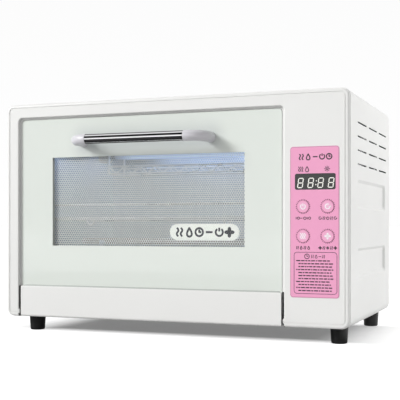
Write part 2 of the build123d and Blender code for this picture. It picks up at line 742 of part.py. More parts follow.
# ---- Wire rack: side rails in the guides, floor wires, raised front rail and two finger loops ----
RACK_X = grown(CHAMBER_X, -RACK_SIDE_GAP)
rear_wire = RACK_REAR - RACK_WIRE
LOOP_CENTRES = (-101.5, 63.5)
LOOP_HALF = 6.5
LOOP_CORNER_DROP = 9.75
with BuildPart() as wire_rack:
    with BuildLine(Plane.XY.offset(above(RACK_HEIGHT))) as rack_edge:
        FilletPolyline(
            (RACK_X[0], behind(RACK_REAR)),
            (RACK_X[0], behind(RACK_FRONT)),
            (RACK_X[1], behind(RACK_FRONT)),
            (RACK_X[1], behind(RACK_REAR)),
            radius=RACK_BEND,
        )
    with BuildSketch(Plane.XZ.offset(-behind(RACK_REAR))):
        with Locations((RACK_X[0], above(RACK_HEIGHT))):
            Circle(RACK_WIRE)
    sweep(path=rack_edge.wires()[0])
    rod_x(RACK_REAR_WIRE, RACK_X, rear_wire, RACK_HEIGHT)
    floor_pitch = length(RACK_X) / (RACK_FLOOR_COUNT + 1)
    for index in range(1, RACK_FLOOR_COUNT + 1):
        rod_y(
            RACK_FLOOR_WIRE, RACK_X[0] + index * floor_pitch, RACK_FRONT, rear_wire, RACK_HEIGHT
        )
    rod_x(
        RACK_FLOOR_WIRE,
        grown(RACK_X, RACK_FLOOR_WIRE * 2 - floor_pitch),
        (RACK_FRONT + RACK_REAR) / 2,
        RACK_HEIGHT - CROSS_WIRE_DROP,
    )
    with BuildLine(front_plane(RACK_FRONT)) as front_rail:
        FilletPolyline(
            (RACK_X[0] + RACK_BEND, above(RACK_HEIGHT)),
            (RACK_X[0] + RACK_BEND, above(RACK_RAIL_HEIGHT)),
            (RACK_X[1] - RACK_BEND, above(RACK_RAIL_HEIGHT)),
            (RACK_X[1] - RACK_BEND, above(RACK_HEIGHT)),
            radius=RACK_BEND / 2,
        )
    with BuildSketch(Plane.XY.offset(above(RACK_HEIGHT))):
        with Locations((RACK_X[0] + RACK_BEND, behind(RACK_FRONT))):
            Circle(RACK_RAIL_WIRE)
    sweep(path=front_rail.wires()[0])
    for centre in LOOP_CENTRES:
        with BuildLine(front_plane(RACK_FRONT)) as loop:
            FilletPolyline(
                (centre - LOOP_HALF, above(RACK_HEIGHT)),
                (centre, above(RACK_HEIGHT - LOOP_CORNER_DROP)),
                (centre + LOOP_HALF, above(RACK_HEIGHT)),
                radius=LOOP_HALF / 2,
            )
        with BuildSketch(Plane(loop.wires()[0] @ 0, z_dir=loop.wires()[0] % 0)):
            Circle(RACK_FLOOR_WIRE)
        sweep(path=loop.wires()[0])
wire_rack.part.label = "wire_rack"
export_step(wire_rack.part, "parts/wire_rack.step")

# ---- Ultraviolet lamp, its holders, reflector and wire guard -------------------------------------
LAMP_CENTRE = middle(CHAMBER_X)
LAMP_X = (LAMP_CENTRE - LAMP_HALF, LAMP_CENTRE + LAMP_HALF)
LAMP_CAP_STEP = 0.4
LAMP_CAP_RADIUS = LAMP_RADIUS + LAMP_CAP_STEP
HOLDER_WIDTH = 8.0
HOLDER_HALF_DEPTH = 12.0
HOLDER_BOTTOM = 186.0
with BuildPart() as uv_lamp:
    rod_x(LAMP_RADIUS, grown(LAMP_X, -LAMP_CAP_LENGTH / 2), LAMP_DEPTH, LAMP_HEIGHT)
    for side, end in ((1, LAMP_X[0]), (-1, LAMP_X[1])):
        cap = sorted((end, end + side * LAMP_CAP_LENGTH))
        rod_x(LAMP_CAP_RADIUS, cap, LAMP_DEPTH, LAMP_HEIGHT)
        for offset in (-LAMP_PIN_SPACING / 2, LAMP_PIN_SPACING / 2):
            pin = sorted((end, end - side * LAMP_PIN_LENGTH))
            rod_x(LAMP_PIN_RADIUS, pin, LAMP_DEPTH + offset, LAMP_HEIGHT)
uv_lamp.part.label = "uv_lamp"
export_step(uv_lamp.part, "parts/uv_lamp.step")

for name, side, end in (("left", -1, LAMP_X[0]), ("right", 1, LAMP_X[1])):
    with BuildPart() as holder:
        body = sorted((end, end + side * HOLDER_WIDTH))
        block(
            body,
            depths(LAMP_DEPTH - HOLDER_HALF_DEPTH, LAMP_DEPTH + HOLDER_HALF_DEPTH),
            heights(HOLDER_BOTTOM, CHAMBER_TOP),
        )
        fillet(
            holder.edges().filter_by(Axis.X).group_by(Axis.Z)[0], HOLDER_HALF_DEPTH / 2
        )
        for offset in (-LAMP_PIN_SPACING / 2, LAMP_PIN_SPACING / 2):
            rod_x(LAMP_PIN_RADIUS, body, LAMP_DEPTH + offset, LAMP_HEIGHT, Mode.SUBTRACT)
    holder.part.label = f"lamp_holder_{name}"
    export_step(holder.part, f"parts/lamp_holder_{name}.step")

REFLECTOR_TOP = CHAMBER_TOP
REFLECTOR_BOTTOM = 204.0
REFLECTOR_HALF_TOP = 10.0
REFLECTOR_HALF_BOTTOM = 19.5
REFLECTOR_SHEET = 1.0
REFLECTOR_RIM = 1.2
REFLECTOR_FOLD = 0.6
reflector_inner_bottom = REFLECTOR_HALF_BOTTOM - REFLECTOR_RIM
reflector_inner_top = REFLECTOR_HALF_TOP - REFLECTOR_FOLD
with BuildPart() as lamp_reflector:
    with BuildSketch(side_plane(LAMP_X[0] + LAMP_CAP_LENGTH)):
        with BuildLine():
            Polyline(
                (behind(LAMP_DEPTH - REFLECTOR_HALF_BOTTOM), above(REFLECTOR_BOTTOM)),
                (behind(LAMP_DEPTH - REFLECTOR_HALF_TOP), above(REFLECTOR_TOP)),
                (behind(LAMP_DEPTH + REFLECTOR_HALF_TOP), above(REFLECTOR_TOP)),
                (behind(LAMP_DEPTH + REFLECTOR_HALF_BOTTOM), above(REFLECTOR_BOTTOM)),
                (behind(LAMP_DEPTH + reflector_inner_bottom), above(REFLECTOR_BOTTOM)),
                (behind(LAMP_DEPTH + reflector_inner_top), above(REFLECTOR_TOP - REFLECTOR_SHEET)),
                (behind(LAMP_DEPTH - reflector_inner_top), above(REFLECTOR_TOP - REFLECTOR_SHEET)),
                (behind(LAMP_DEPTH - reflector_inner_bottom), above(REFLECTOR_BOTTOM)),
                close=True,
            )
        make_face()
    extrude(amount=length(LAMP_X) - 2 * LAMP_CAP_LENGTH)
lamp_reflector.part.label = "lamp_reflector"
export_step(lamp_reflector.part, "parts/lamp_reflector.step")

GUARD_X = grown(LAMP_X, -LAMP_CAP_LENGTH)
GUARD_DEPTHS = (LAMP_DEPTH - GUARD_HALF_DEPTH, LAMP_DEPTH + GUARD_HALF_DEPTH)
guard_count = int(length(GUARD_X) / GUARD_PITCH)
guard_step = length(GUARD_X) / guard_count


def zigzag_corner(index, depth):
    """Corner of the zigzag wire: even ones on the upper wire, odd ones on the lower."""
    height = GUARD_TOP if index % 2 == 0 else GUARD_BOTTOM
    return Vector(GUARD_X[0] + index * guard_step / 2, behind(depth), above(height))


with BuildPart() as lamp_guard:
    for depth in GUARD_DEPTHS:
        for height in (GUARD_BOTTOM, GUARD_TOP):
            rod_x(GUARD_WIRE, GUARD_X, depth, height)
        for index in range(2 * guard_count):
            low, high = sorted(
                (zigzag_corner(index, depth), zigzag_corner(index + 1, depth)),
                key=lambda corner: corner.Z,
            )
            with Locations(Plane((low + high) / 2, z_dir=high - low)):
                Cylinder(GUARD_THIN_WIRE, (high - low).length)
        for x in GUARD_X:
            rod_z(GUARD_POST, x, depth, heights(GUARD_BOTTOM - GUARD_WIRE, CHAMBER_TOP))
    for index in range(0, guard_count + 1, 2):
        rod_y(GUARD_THIN_WIRE, GUARD_X[0] + index * guard_step, *GUARD_DEPTHS, GUARD_BOTTOM)
lamp_guard.part.label = "lamp_guard"
export_step(lamp_guard.part, "parts/lamp_guard.step")

# ---- Heating tube: one hairpin that enters through the wall of the electronics bay ---------------
CHAMBER_OUTSIDE = CHAMBER_RIGHT + CHAMBER_SHEET
HEATER_TAIL = 9.0
HEATER_END = CHAMBER_OUTSIDE + HEATER_TAIL
HEATER_TERMINAL_RADIUS = 1.5
HEATER_TERMINAL_LENGTH = 9.0
HEATER_COLLAR_RADIUS = 6.0
HEATER_COLLAR_LENGTH = 3.0
with BuildPart() as heater_tube:
    with BuildLine(Plane.XY.offset(above(HEATER_HEIGHT))) as hairpin:
        FilletPolyline(
            (HEATER_END, behind(HEATER_FRONT)),
            (HEATER_LEFT, behind(HEATER_FRONT)),
            (HEATER_LEFT, behind(HEATER_REAR)),
            (HEATER_END, behind(HEATER_REAR)),
            radius=HEATER_BEND,
        )
    with BuildSketch(side_plane(HEATER_END)):
        with Locations((behind(HEATER_FRONT), above(HEATER_HEIGHT))):
            Circle(HEATER_RADIUS)
    sweep(path=hairpin.wires()[0])
    for depth in (HEATER_FRONT, HEATER_REAR):
        rod_x(
            HEATER_TERMINAL_RADIUS,
            (HEATER_END, HEATER_END + HEATER_TERMINAL_LENGTH),
            depth,
            HEATER_HEIGHT,
        )
        rod_x(
            HEATER_COLLAR_RADIUS,
            (CHAMBER_OUTSIDE, CHAMBER_OUTSIDE + HEATER_COLLAR_LENGTH),
            depth,
            HEATER_HEIGHT,
        )
heater_tube.part.label = "heater_tube"
export_step(heater_tube.part, "parts/heater_tube.step")

CLIP_X = -111.0
CLIP_HALF = 3.0
CLIP_WALL = 2.2
CLIP_RISE = 1.0
with BuildPart() as heater_clips:
    for depth in (HEATER_FRONT, HEATER_REAR):
        block(
            (CLIP_X - CLIP_HALF, CLIP_X + CLIP_HALF),
            depths(depth - HEATER_RADIUS - CLIP_WALL, depth + HEATER_RADIUS + CLIP_WALL),
            heights(CHAMBER_BOTTOM, HEATER_HEIGHT + CLIP_RISE),
        )
        rod_x(
            HEATER_RADIUS, (CLIP_X - CLIP_HALF, CLIP_X + CLIP_HALF), depth, HEATER_HEIGHT,
            Mode.SUBTRACT,
        )
heater_clips.part.label = "heater_clips"
export_step(heater_clips.part, "parts/heater_clips.step")

# ---- Circulation fan on the chamber wall: housing with a bearing spider, and the rotor ------------
FAN_X = (CHAMBER_OUTSIDE, CHAMBER_OUTSIDE + FAN_THICKNESS)
FAN_SPIDER = 2.5
FAN_BOSS_RADIUS = 6.0
FAN_STRUT = 3.0
FAN_STRUT_BITE = 0.5
FAN_GAP = 0.8
FAN_HUB_EDGE = 2.0
FAN_SHAFT_SETBACK = 0.3
fan_y = behind(FAN_DEPTH)
fan_z = above(FAN_HEIGHT)
fan_square = (grown((fan_y, fan_y), FAN_SIZE / 2), grown((fan_z, fan_z), FAN_SIZE / 2))
with BuildPart() as fan_housing:
    with BuildSketch(side_plane(FAN_X[0])):
        patch(*fan_square, FAN_STRUT)
        with Locations((fan_y, fan_z)):
            Circle(FAN_BORE, mode=Mode.SUBTRACT)
    extrude(amount=FAN_THICKNESS)
    with BuildSketch(side_plane(FAN_X[1] - FAN_SPIDER)):
        with Locations((fan_y, fan_z)):
            Rectangle(2 * (FAN_BORE + FAN_STRUT_BITE), FAN_STRUT)
            Rectangle(FAN_STRUT, 2 * (FAN_BORE + FAN_STRUT_BITE))
            Circle(FAN_BOSS_RADIUS)
            Circle(FAN_SHAFT_RADIUS + FAN_SHAFT_CLEARANCE, mode=Mode.SUBTRACT)
    extrude(amount=FAN_SPIDER)
fan_housing.part.label = "fan_housing"
export_step(fan_housing.part, "parts/fan_housing.step")

ROTOR_X = (FAN_X[0] + FAN_GAP, FAN_X[1] - FAN_SPIDER - FAN_GAP)
BLADE_THICKNESS = 1.4
BLADE_CHORD = 11.0
BLADE_PITCH = 38.0
BLADE_BITE = 1.5
with BuildPart() as fan_rotor:
    rod_x(FAN_HUB_RADIUS, ROTOR_X, FAN_DEPTH, FAN_HEIGHT)
    fillet(fan_rotor.faces().sort_by(Axis.X)[0].edges(), FAN_HUB_EDGE)
    rod_x(FAN_SHAFT_RADIUS, (ROTOR_X[1], FAN_X[1] - FAN_SHAFT_SETBACK), FAN_DEPTH, FAN_HEIGHT)
    blade_span = FAN_TIP_RADIUS - FAN_HUB_RADIUS + BLADE_BITE
    with Locations(Plane((middle(ROTOR_X), fan_y, fan_z), x_dir=(0, 1, 0), z_dir=(1, 0, 0))):
        with PolarLocations(FAN_TIP_RADIUS - blade_span / 2, FAN_BLADES):
            Box(blade_span, BLADE_CHORD, BLADE_THICKNESS, rotation=(BLADE_PITCH, 0, 0))
fan_rotor.part.label = "fan_rotor"
export_step(fan_rotor.part, "parts/fan_rotor.step")

# ---- Control panel: printed overlay, display lens and module, board, key switches -----------------
with BuildPart() as control_overlay:
    with BuildSketch(front_plane(-PANEL_PROUD)):
        patch(PANEL_X, PANEL_Z, PANEL_RADIUS)
        patch(DISPLAY_X, DISPLAY_Z, DISPLAY_RADIUS, Mode.SUBTRACT)
        with Locations(*KEY_SPOTS):
            Circle(PANEL_HOLE_RADIUS, mode=Mode.SUBTRACT)
    extrude(amount=-(PANEL_PROUD + PANEL_SUNK))
control_overlay.part.label = "control_overlay"
export_step(control_overlay.part, "parts/control_overlay.step")

with BuildPart() as display_lens:
    with BuildSketch(front_plane(-PANEL_PROUD)):
        patch(DISPLAY_X, DISPLAY_Z, DISPLAY_RADIUS)
    extrude(amount=-LENS_THICKNESS)
display_lens.part.label = "display_lens"
export_step(display_lens.part, "parts/display_lens.step")

MODULE_INSET = 0.6
with BuildPart() as display_module:
    block(
        grown(DISPLAY_X, -MODULE_INSET),
        depths(LENS_THICKNESS - PANEL_PROUD, BOARD_DEPTH),
        grown(DISPLAY_Z, -MODULE_INSET),
    )
display_module.part.label = "display_module"
export_step(display_module.part, "parts/display_module.step")

CHIP_SIZE = 12.0
CHIP_HEIGHT = 2.5
SOCKET_X = (151.0, 177.0)
SOCKET_Z = heights(84.0, 92.0)
SOCKET_HEIGHT = 7.0
with BuildPart() as control_board:
    with BuildSketch(front_plane(BOARD_DEPTH)):
        patch(BOARD_X, BOARD_Z, BOARD_CORNER)
        with Locations(*BOARD_SPOTS):
            Circle(BOARD_SCREW_RADIUS, mode=Mode.SUBTRACT)
    extrude(amount=-BOARD_THICKNESS)
    board_back = BOARD_DEPTH + BOARD_THICKNESS
    chip_x = grown((middle(BOARD_X), middle(BOARD_X)), CHIP_SIZE / 2)
    chip_z = grown((middle(BOARD_Z), middle(BOARD_Z)), CHIP_SIZE / 2)
    block(chip_x, depths(board_back, board_back + CHIP_HEIGHT), chip_z)
    block(SOCKET_X, depths(board_back, board_back + SOCKET_HEIGHT), SOCKET_Z)
control_board.part.label = "control_board"
export_step(control_board.part, "parts/control_board.step")

SWITCH_HALF = 3.0
with BuildPart() as key_switches:
    with BuildSketch(front_plane(BOARD_DEPTH)):
        with Locations(*KEY_SPOTS):
            Rectangle(2 * SWITCH_HALF, 2 * SWITCH_HALF)
    extrude(amount=SWITCH_HEIGHT)
    with BuildSketch(front_plane(BOARD_DEPTH - SWITCH_HEIGHT)):
        with Locations(*KEY_SPOTS):
            Circle(PLUNGER_RADIUS)
    extrude(amount=PLUNGER_HEIGHT)
key_switches.part.label = "key_switches"
export_step(key_switches.part, "parts/key_switches.step")

with BuildPart() as board_screws:
    with BuildSketch(front_plane(BOARD_DEPTH)):
        with Locations(*BOARD_SPOTS):
            Circle(BOARD_SCREW_RADIUS)
    extrude(amount=-BOARD_THICKNESS)
    with BuildSketch(front_plane(BOARD_DEPTH + BOARD_THICKNESS)):
        with Locations(*BOARD_SPOTS):
            Circle(BOARD_SCREW_HEAD)
    extrude(amount=-SCREW_HEAD_HEIGHT)
board_screws.part.label = "board_screws"
export_step(board_screws.part, "parts/board_screws.step")

KEY_FREE_PLAY = 0.1
STEM_END = BOARD_DEPTH - SWITCH_HEIGHT - PLUNGER_HEIGHT - KEY_TRAVEL - KEY_FREE_PLAY
for place, (key_x, key_height) in KEY_PLACES.items():
    with BuildPart() as key:
        rod_y(KEY_RADIUS, key_x, -KEY_PROUD, KEY_SUNK, key_height)
        fillet(key.faces().sort_by(Axis.Y)[0].edges(), KEY_PROUD / 2)
        rod_y(STEM_RADIUS, key_x, KEY_SUNK, STEM_END, key_height)
    key.part.label = f"key_{place}"
    export_step(key.part, f"parts/key_{place}.step")

# ---- Power board, its standoffs, lamp ballast, thermal cut-out, door switch -----------------------
POWER_X = (123.0, 163.0)
POWER_DEPTHS = (56.0, 150.0)
POWER_HEIGHT = 12.0
POWER_TOP = POWER_HEIGHT + BOARD_THICKNESS
POWER_SPOT_INSET = 5.0
POWER_SPOTS = [
    (x, y)
    for x in grown(POWER_X, -POWER_SPOT_INSET)
    for y in grown(depths(*POWER_DEPTHS), -POWER_SPOT_INSET)
]
TRANSFORMER_SIZE = (26.0, 28.0, 24.0)
TRANSFORMER_DEPTH = 84.0
TRANSFORMER_SHIFT = 4.0
RELAY_SIZE = (15.0, 16.0, 16.0)
RELAY_DEPTH = 112.0
RELAY_SHIFT = 9.0
CAPACITOR_RADIUS = 4.5
CAPACITOR_HEIGHT = 20.0
CAPACITOR_INSET = 6.0
TERMINAL_SIZE = (32.0, 9.0, 9.0)
TERMINAL_DEPTH = 136.0
power_mid = middle(POWER_X)
board_parts = (
    (TRANSFORMER_SIZE, power_mid - TRANSFORMER_SHIFT, TRANSFORMER_DEPTH),
    (RELAY_SIZE, power_mid - RELAY_SHIFT, RELAY_DEPTH),
    (RELAY_SIZE, power_mid + RELAY_SHIFT, RELAY_DEPTH),
    (TERMINAL_SIZE, power_mid, TERMINAL_DEPTH),
)
with BuildPart() as power_board:
    block(POWER_X, depths(*POWER_DEPTHS), heights(POWER_HEIGHT, POWER_TOP))
    for (wide, deep, high), x, depth in board_parts:
        with Locations((x, behind(depth), above(POWER_TOP + high / 2))):
            Box(wide, deep, high)
    rod_z(
        CAPACITOR_RADIUS,
        POWER_X[1] - CAPACITOR_INSET,
        TRANSFORMER_DEPTH,
        heights(POWER_TOP, POWER_TOP + CAPACITOR_HEIGHT),
    )
power_board.part.label = "power_board"
export_step(power_board.part, "parts/power_board.step")

STANDOFF_RADIUS = 3.0
with BuildPart() as board_standoffs:
    with BuildSketch(Plane.XY.offset(CASE_Z[0] + SHEET)):
        with Locations(*POWER_SPOTS):
            Circle(STANDOFF_RADIUS)
    extrude(amount=POWER_HEIGHT - SHEET)
board_standoffs.part.label = "board_standoffs"
export_step(board_standoffs.part, "parts/board_standoffs.step")

BALLAST_X = (137.0, 165.0)
BALLAST_DEPTHS = (168.0, 222.0)
BALLAST_HEIGHT = 20.0
BALLAST_EDGE = 1.5
BALLAST_FOOT_REACH = 5.0
BALLAST_FOOT_THICKNESS = 1.5
with BuildPart() as lamp_ballast:
    block(BALLAST_X, depths(*BALLAST_DEPTHS), heights(SHEET, SHEET + BALLAST_HEIGHT))
    fillet(lamp_ballast.edges().group_by(Axis.Z)[-1], BALLAST_EDGE)
    block(
        BALLAST_X,
        grown(depths(*BALLAST_DEPTHS), BALLAST_FOOT_REACH),
        heights(SHEET, SHEET + BALLAST_FOOT_THICKNESS),
    )
lamp_ballast.part.label = "lamp_ballast"
export_step(lamp_ballast.part, "parts/lamp_ballast.step")

CUTOUT_DEPTH = 180.0
CUTOUT_HEIGHT = 200.0
CUTOUT_RADIUS = 8.0
CUTOUT_LENGTH = 8.0
TAB_LENGTH = 8.0
TAB_OFFSET = 4.0
TAB_HALF_THICKNESS = 0.4
TAB_HALF_WIDTH = 3.0
cutout_end = CHAMBER_OUTSIDE + CUTOUT_LENGTH
with BuildPart() as thermal_cutout:
    rod_x(CUTOUT_RADIUS, (CHAMBER_OUTSIDE, cutout_end), CUTOUT_DEPTH, CUTOUT_HEIGHT)
    for depth in (CUTOUT_DEPTH - TAB_OFFSET, CUTOUT_DEPTH + TAB_OFFSET):
        block(
            (cutout_end, cutout_end + TAB_LENGTH),
            depths(depth - TAB_HALF_THICKNESS, depth + TAB_HALF_THICKNESS),
            heights(CUTOUT_HEIGHT - TAB_HALF_WIDTH, CUTOUT_HEIGHT + TAB_HALF_WIDTH),
        )
thermal_cutout.part.label = "thermal_cutout"
export_step(thermal_cutout.part, "parts/thermal_cutout.step")

DOOR_SWITCH_WIDTH = 6.0
DOOR_SWITCH_DEPTHS = (5.0, 13.0)
DOOR_SWITCH_HEIGHTS = (196.0, 222.0)
surround_outside = OPENING_RIGHT + SURROUND_WALL
with BuildPart() as door_switch:
    block(
        (surround_outside, surround_outside + DOOR_SWITCH_WIDTH),
        depths(*DOOR_SWITCH_DEPTHS),
        heights(*DOOR_SWITCH_HEIGHTS),
    )
door_switch.part.label = "door_switch"
export_step(door_switch.part, "parts/door_switch.step")

MAGNET_SPOTS = (-119.0, 65.0)
MAGNET_DEPTH = 13.2
MAGNET_Z = heights(222.7, 225.7)
MAGNET_HALF = 12.0
with BuildPart() as catch_magnets:
    for x in MAGNET_SPOTS:
        block(grown((x, x), MAGNET_HALF), depths(MAGNET_DEPTH, FLANGE_DEPTH), MAGNET_Z)
catch_magnets.part.label = "catch_magnets"
export_step(catch_magnets.part, "parts/catch_magnets.step")

# ---- Hinge bushes pressed into the sides of the opening -------------------------------------------
for name, side, wall in (("left", -1, OPENING_LEFT), ("right", 1, OPENING_RIGHT)):
    with BuildPart() as bush:
        barrel = sorted((wall, wall + side * BUSH_LENGTH))
        flange = sorted((wall, wall - side * BUSH_FLANGE))
        rod_x(BUSH_RADIUS, barrel, HINGE_DEPTH, HINGE_HEIGHT)
        rod_x(BUSH_FLANGE_RADIUS, flange, HINGE_DEPTH, HINGE_HEIGHT)
        bore = (min(barrel[0], flange[0]), max(barrel[1], flange[1]))
        rod_x(PIN_RADIUS + PIN_CLEARANCE, bore, HINGE_DEPTH, HINGE_HEIGHT, Mode.SUBTRACT)
    bush.part.label = f"hinge_bush_{name}"
    export_step(bush.part, f"parts/hinge_bush_{name}.step")

PIN_SETBACK = 1.0
with BuildPart() as hinge_pins:
    pin_left = (OPENING_LEFT - BUSH_LENGTH + PIN_SETBACK, DOOR_LEFT + PIN_BITE)
    pin_right = (DOOR_RIGHT - PIN_BITE, OPENING_RIGHT + BUSH_LENGTH - PIN_SETBACK)
    for reach in (pin_left, pin_right):
        rod_x(PIN_RADIUS, reach, HINGE_DEPTH, HINGE_HEIGHT)
hinge_pins.part.label = "hinge_pins"
export_step(hinge_pins.part, "parts/hinge_pins.step")

# ---- Door strip: bottom rail of the door, slotted for the glass -----------------------------------
GLASS_DEPTHS = (GLASS_RECESS, GLASS_RECESS + GLASS_THICKNESS)
SCREW_DEPTHS = (GLASS_RECESS, GLASS_RECESS + GLASS_THICKNESS + INNER_FRAME_DEPTH)
HANDLE_SPOTS = [
    (HANDLE_CENTRE + side * (BAR_HALF + ARM_BEND), above(HANDLE_HEIGHT)) for side in (-1, 1)
]
with BuildPart() as door_strip:
    block(DOOR_X, depths(0, STRIP_THICKNESS), heights(STRIP_BOTTOM, STRIP_TOP))
    bottom_edges = door_strip.edges().filter_by(Axis.X).group_by(Axis.Z)[0]
    fillet(bottom_edges.sort_by(Axis.Y)[0], STRIP_HEEL_RADIUS)
    top_edges = door_strip.edges().filter_by(Axis.X).group_by(Axis.Z)[-1]
    fillet(top_edges.sort_by(Axis.Y)[0], STRIP_TOP_EDGE)
    block(DOOR_X, depths(*GLASS_DEPTHS), heights(STRIP_TOP - GLASS_BITE, STRIP_TOP), Mode.SUBTRACT)
    block(
        grown(DOOR_X, -PIN_BITE - STRIP_WALL),
        depths(STRIP_WALL, STRIP_THICKNESS),
        heights(STRIP_BOTTOM + STRIP_WALL, STRIP_TOP - GLASS_BITE - STRIP_WALL),
        Mode.SUBTRACT,
    )
    for side, end in ((1, DOOR_LEFT), (-1, DOOR_RIGHT)):
        hole = sorted((end, end + side * PIN_BITE))
        rod_x(PIN_RADIUS, hole, HINGE_DEPTH, HINGE_HEIGHT, Mode.SUBTRACT)
door_strip.part.label = "door_strip"
export_step(door_strip.part, "parts/door_strip.step")

# ---- Door glass, the printed screen behind its window, the inner frame and the seal ----------------
GLASS_X = (GLASS_LEFT, GLASS_RIGHT)
GLASS_Z = heights(STRIP_TOP - GLASS_BITE, DOOR_TOP)
with BuildPart() as door_glass:
    with BuildSketch(front_plane(GLASS_DEPTHS[0])) as pane:
        patch(GLASS_X, GLASS_Z)
        fillet(pane.vertices().group_by(Axis.Y)[-1], GLASS_RADIUS)
        with Locations(*HANDLE_SPOTS):
            Circle(SCREW_RADIUS, mode=Mode.SUBTRACT)
    extrude(amount=-GLASS_THICKNESS)
door_glass.part.label = "door_glass"
export_step(door_glass.part, "parts/door_glass.step")

SCREEN_X = grown(WINDOW_X, SCREEN_MARGIN)
SCREEN_Z = grown(WINDOW_Z, SCREEN_MARGIN)
with BuildPart() as window_screen:
    with BuildSketch(front_plane(GLASS_DEPTHS[1])):
        patch(SCREEN_X, SCREEN_Z)
    extrude(amount=-SCREEN_THICKNESS)
window_screen.part.label = "window_screen"
export_step(window_screen.part, "parts/window_screen.step")

INNER_SIDE_GAP = 2.0
INNER_BOTTOM_GAP = 1.0
INNER_TOP_GAP = 0.5
SCREEN_GAP = 2.0
SPACER_RADIUS = 5.0
INNER_X = grown(GLASS_X, -INNER_SIDE_GAP)
INNER_Z = heights(STRIP_TOP + INNER_BOTTOM_GAP, DOOR_TOP - INNER_TOP_GAP)
INNER_WINDOW = (grown(SCREEN_X, SCREEN_GAP), grown(SCREEN_Z, SCREEN_GAP))
with BuildPart() as door_inner_frame:
    with BuildSketch(front_plane(GLASS_DEPTHS[1])):
        patch(INNER_X, INNER_Z, GLASS_RADIUS)
        patch(*INNER_WINDOW, mode=Mode.SUBTRACT)
    extrude(amount=-INNER_FRAME_DEPTH)
    # Hollow between the two rims, open towards the glass
    with BuildSketch(front_plane(GLASS_DEPTHS[1])):
        patch(grown(INNER_X, -INNER_FRAME_SHEET), grown(INNER_Z, -INNER_FRAME_SHEET))
        patch(*[grown(span, INNER_FRAME_SHEET) for span in INNER_WINDOW], mode=Mode.SUBTRACT)
    extrude(amount=-(INNER_FRAME_DEPTH - INNER_FRAME_SHEET), mode=Mode.SUBTRACT)
    # Spacers between glass and sheet, where the handle screws pass
    with BuildSketch(front_plane(GLASS_DEPTHS[1])):
        with Locations(*HANDLE_SPOTS):
            Circle(SPACER_RADIUS)
    extrude(amount=-INNER_FRAME_DEPTH)
    with BuildSketch(front_plane(GLASS_DEPTHS[1])):
        with Locations(*HANDLE_SPOTS):
            Circle(SCREW_RADIUS)
    extrude(amount=-INNER_FRAME_DEPTH, mode=Mode.SUBTRACT)
door_inner_frame.part.label = "door_inner_frame"
export_step(door_inner_frame.part, "parts/door_inner_frame.step")

SEAL_GAP = 1.0
with BuildPart() as door_seal:
    with BuildSketch(front_plane(SCREW_DEPTHS[1])):
        patch(
            grown(CHAMBER_X, SEAL_GAP + SEAL_WIDTH),
            grown(CHAMBER_Z, SEAL_GAP + SEAL_WIDTH),
            SEAL_RADIUS + SEAL_WIDTH,
        )
        patch(
            grown(CHAMBER_X, SEAL_GAP), grown(CHAMBER_Z, SEAL_GAP), SEAL_RADIUS, Mode.SUBTRACT
        )
    extrude(amount=-SEAL_THICKNESS)
door_seal.part.label = "door_seal"
export_step(door_seal.part, "parts/door_seal.step")

DOOR_MAGNET_WIDTH = 5.0
DOOR_MAGNET_HEIGHTS = (200.0, 218.0)
magnet_right = INNER_X[1] - INNER_FRAME_SHEET
with BuildPart() as door_magnet:
    block(
        (magnet_right - DOOR_MAGNET_WIDTH, magnet_right),
        depths(GLASS_DEPTHS[1], SCREW_DEPTHS[1] - INNER_FRAME_SHEET),
        heights(*DOOR_MAGNET_HEIGHTS),
    )
door_magnet.part.label = "door_magnet"
export_step(door_magnet.part, "parts/door_magnet.step")

# ---- Handle: bar, two bent arms and the screws that hold them through the glass --------------------
BAR_X = grown((HANDLE_CENTRE, HANDLE_CENTRE), BAR_HALF)
with BuildPart() as handle_bar:
    rod_x(BAR_RADIUS, BAR_X, -HANDLE_STANDOFF, HANDLE_HEIGHT)
    rod_x(SPIGOT_RADIUS, grown(BAR_X, SPIGOT_LENGTH), -HANDLE_STANDOFF, HANDLE_HEIGHT)
handle_bar.part.label = "handle_bar"
export_step(handle_bar.part, "parts/handle_bar.step")

SCREW_BITE = 12.0
for name, side in (("left", -1), ("right", 1)):
    with BuildPart() as arm:
        start_x = HANDLE_CENTRE + side * BAR_HALF
        end_x = start_x + side * ARM_BEND
        with BuildLine(Plane.XY.offset(above(HANDLE_HEIGHT))) as bend:
            corner_y = behind(-HANDLE_STANDOFF)
            FilletPolyline(
                (start_x, corner_y),
                (end_x, corner_y),
                (end_x, behind(GLASS_RECESS)),
                radius=ARM_BEND_RADIUS,
            )
        with BuildSketch(side_plane(start_x)):
            with Locations((corner_y, above(HANDLE_HEIGHT))):
                Circle(ARM_RADIUS)
        sweep(path=bend.wires()[0])
        # Foot that widens towards the glass
        with BuildSketch(front_plane(GLASS_RECESS)):
            with Locations((end_x, above(HANDLE_HEIGHT))):
                Circle(ARM_FOOT_RADIUS)
        with BuildSketch(front_plane(GLASS_RECESS - ARM_FOOT_LENGTH)):
            with Locations((end_x, above(HANDLE_HEIGHT))):
                Circle(ARM_RADIUS)
        loft()
        socket = sorted((start_x, start_x + side * SPIGOT_LENGTH))
        rod_x(SPIGOT_RADIUS, socket, -HANDLE_STANDOFF, HANDLE_HEIGHT, Mode.SUBTRACT)
        rod_y(
            SCREW_RADIUS, end_x, GLASS_RECESS - SCREW_BITE, GLASS_RECESS, HANDLE_HEIGHT,
            Mode.SUBTRACT,
        )
    arm.part.label = f"handle_arm_{name}"
    export_step(arm.part, f"parts/handle_arm_{name}.step")

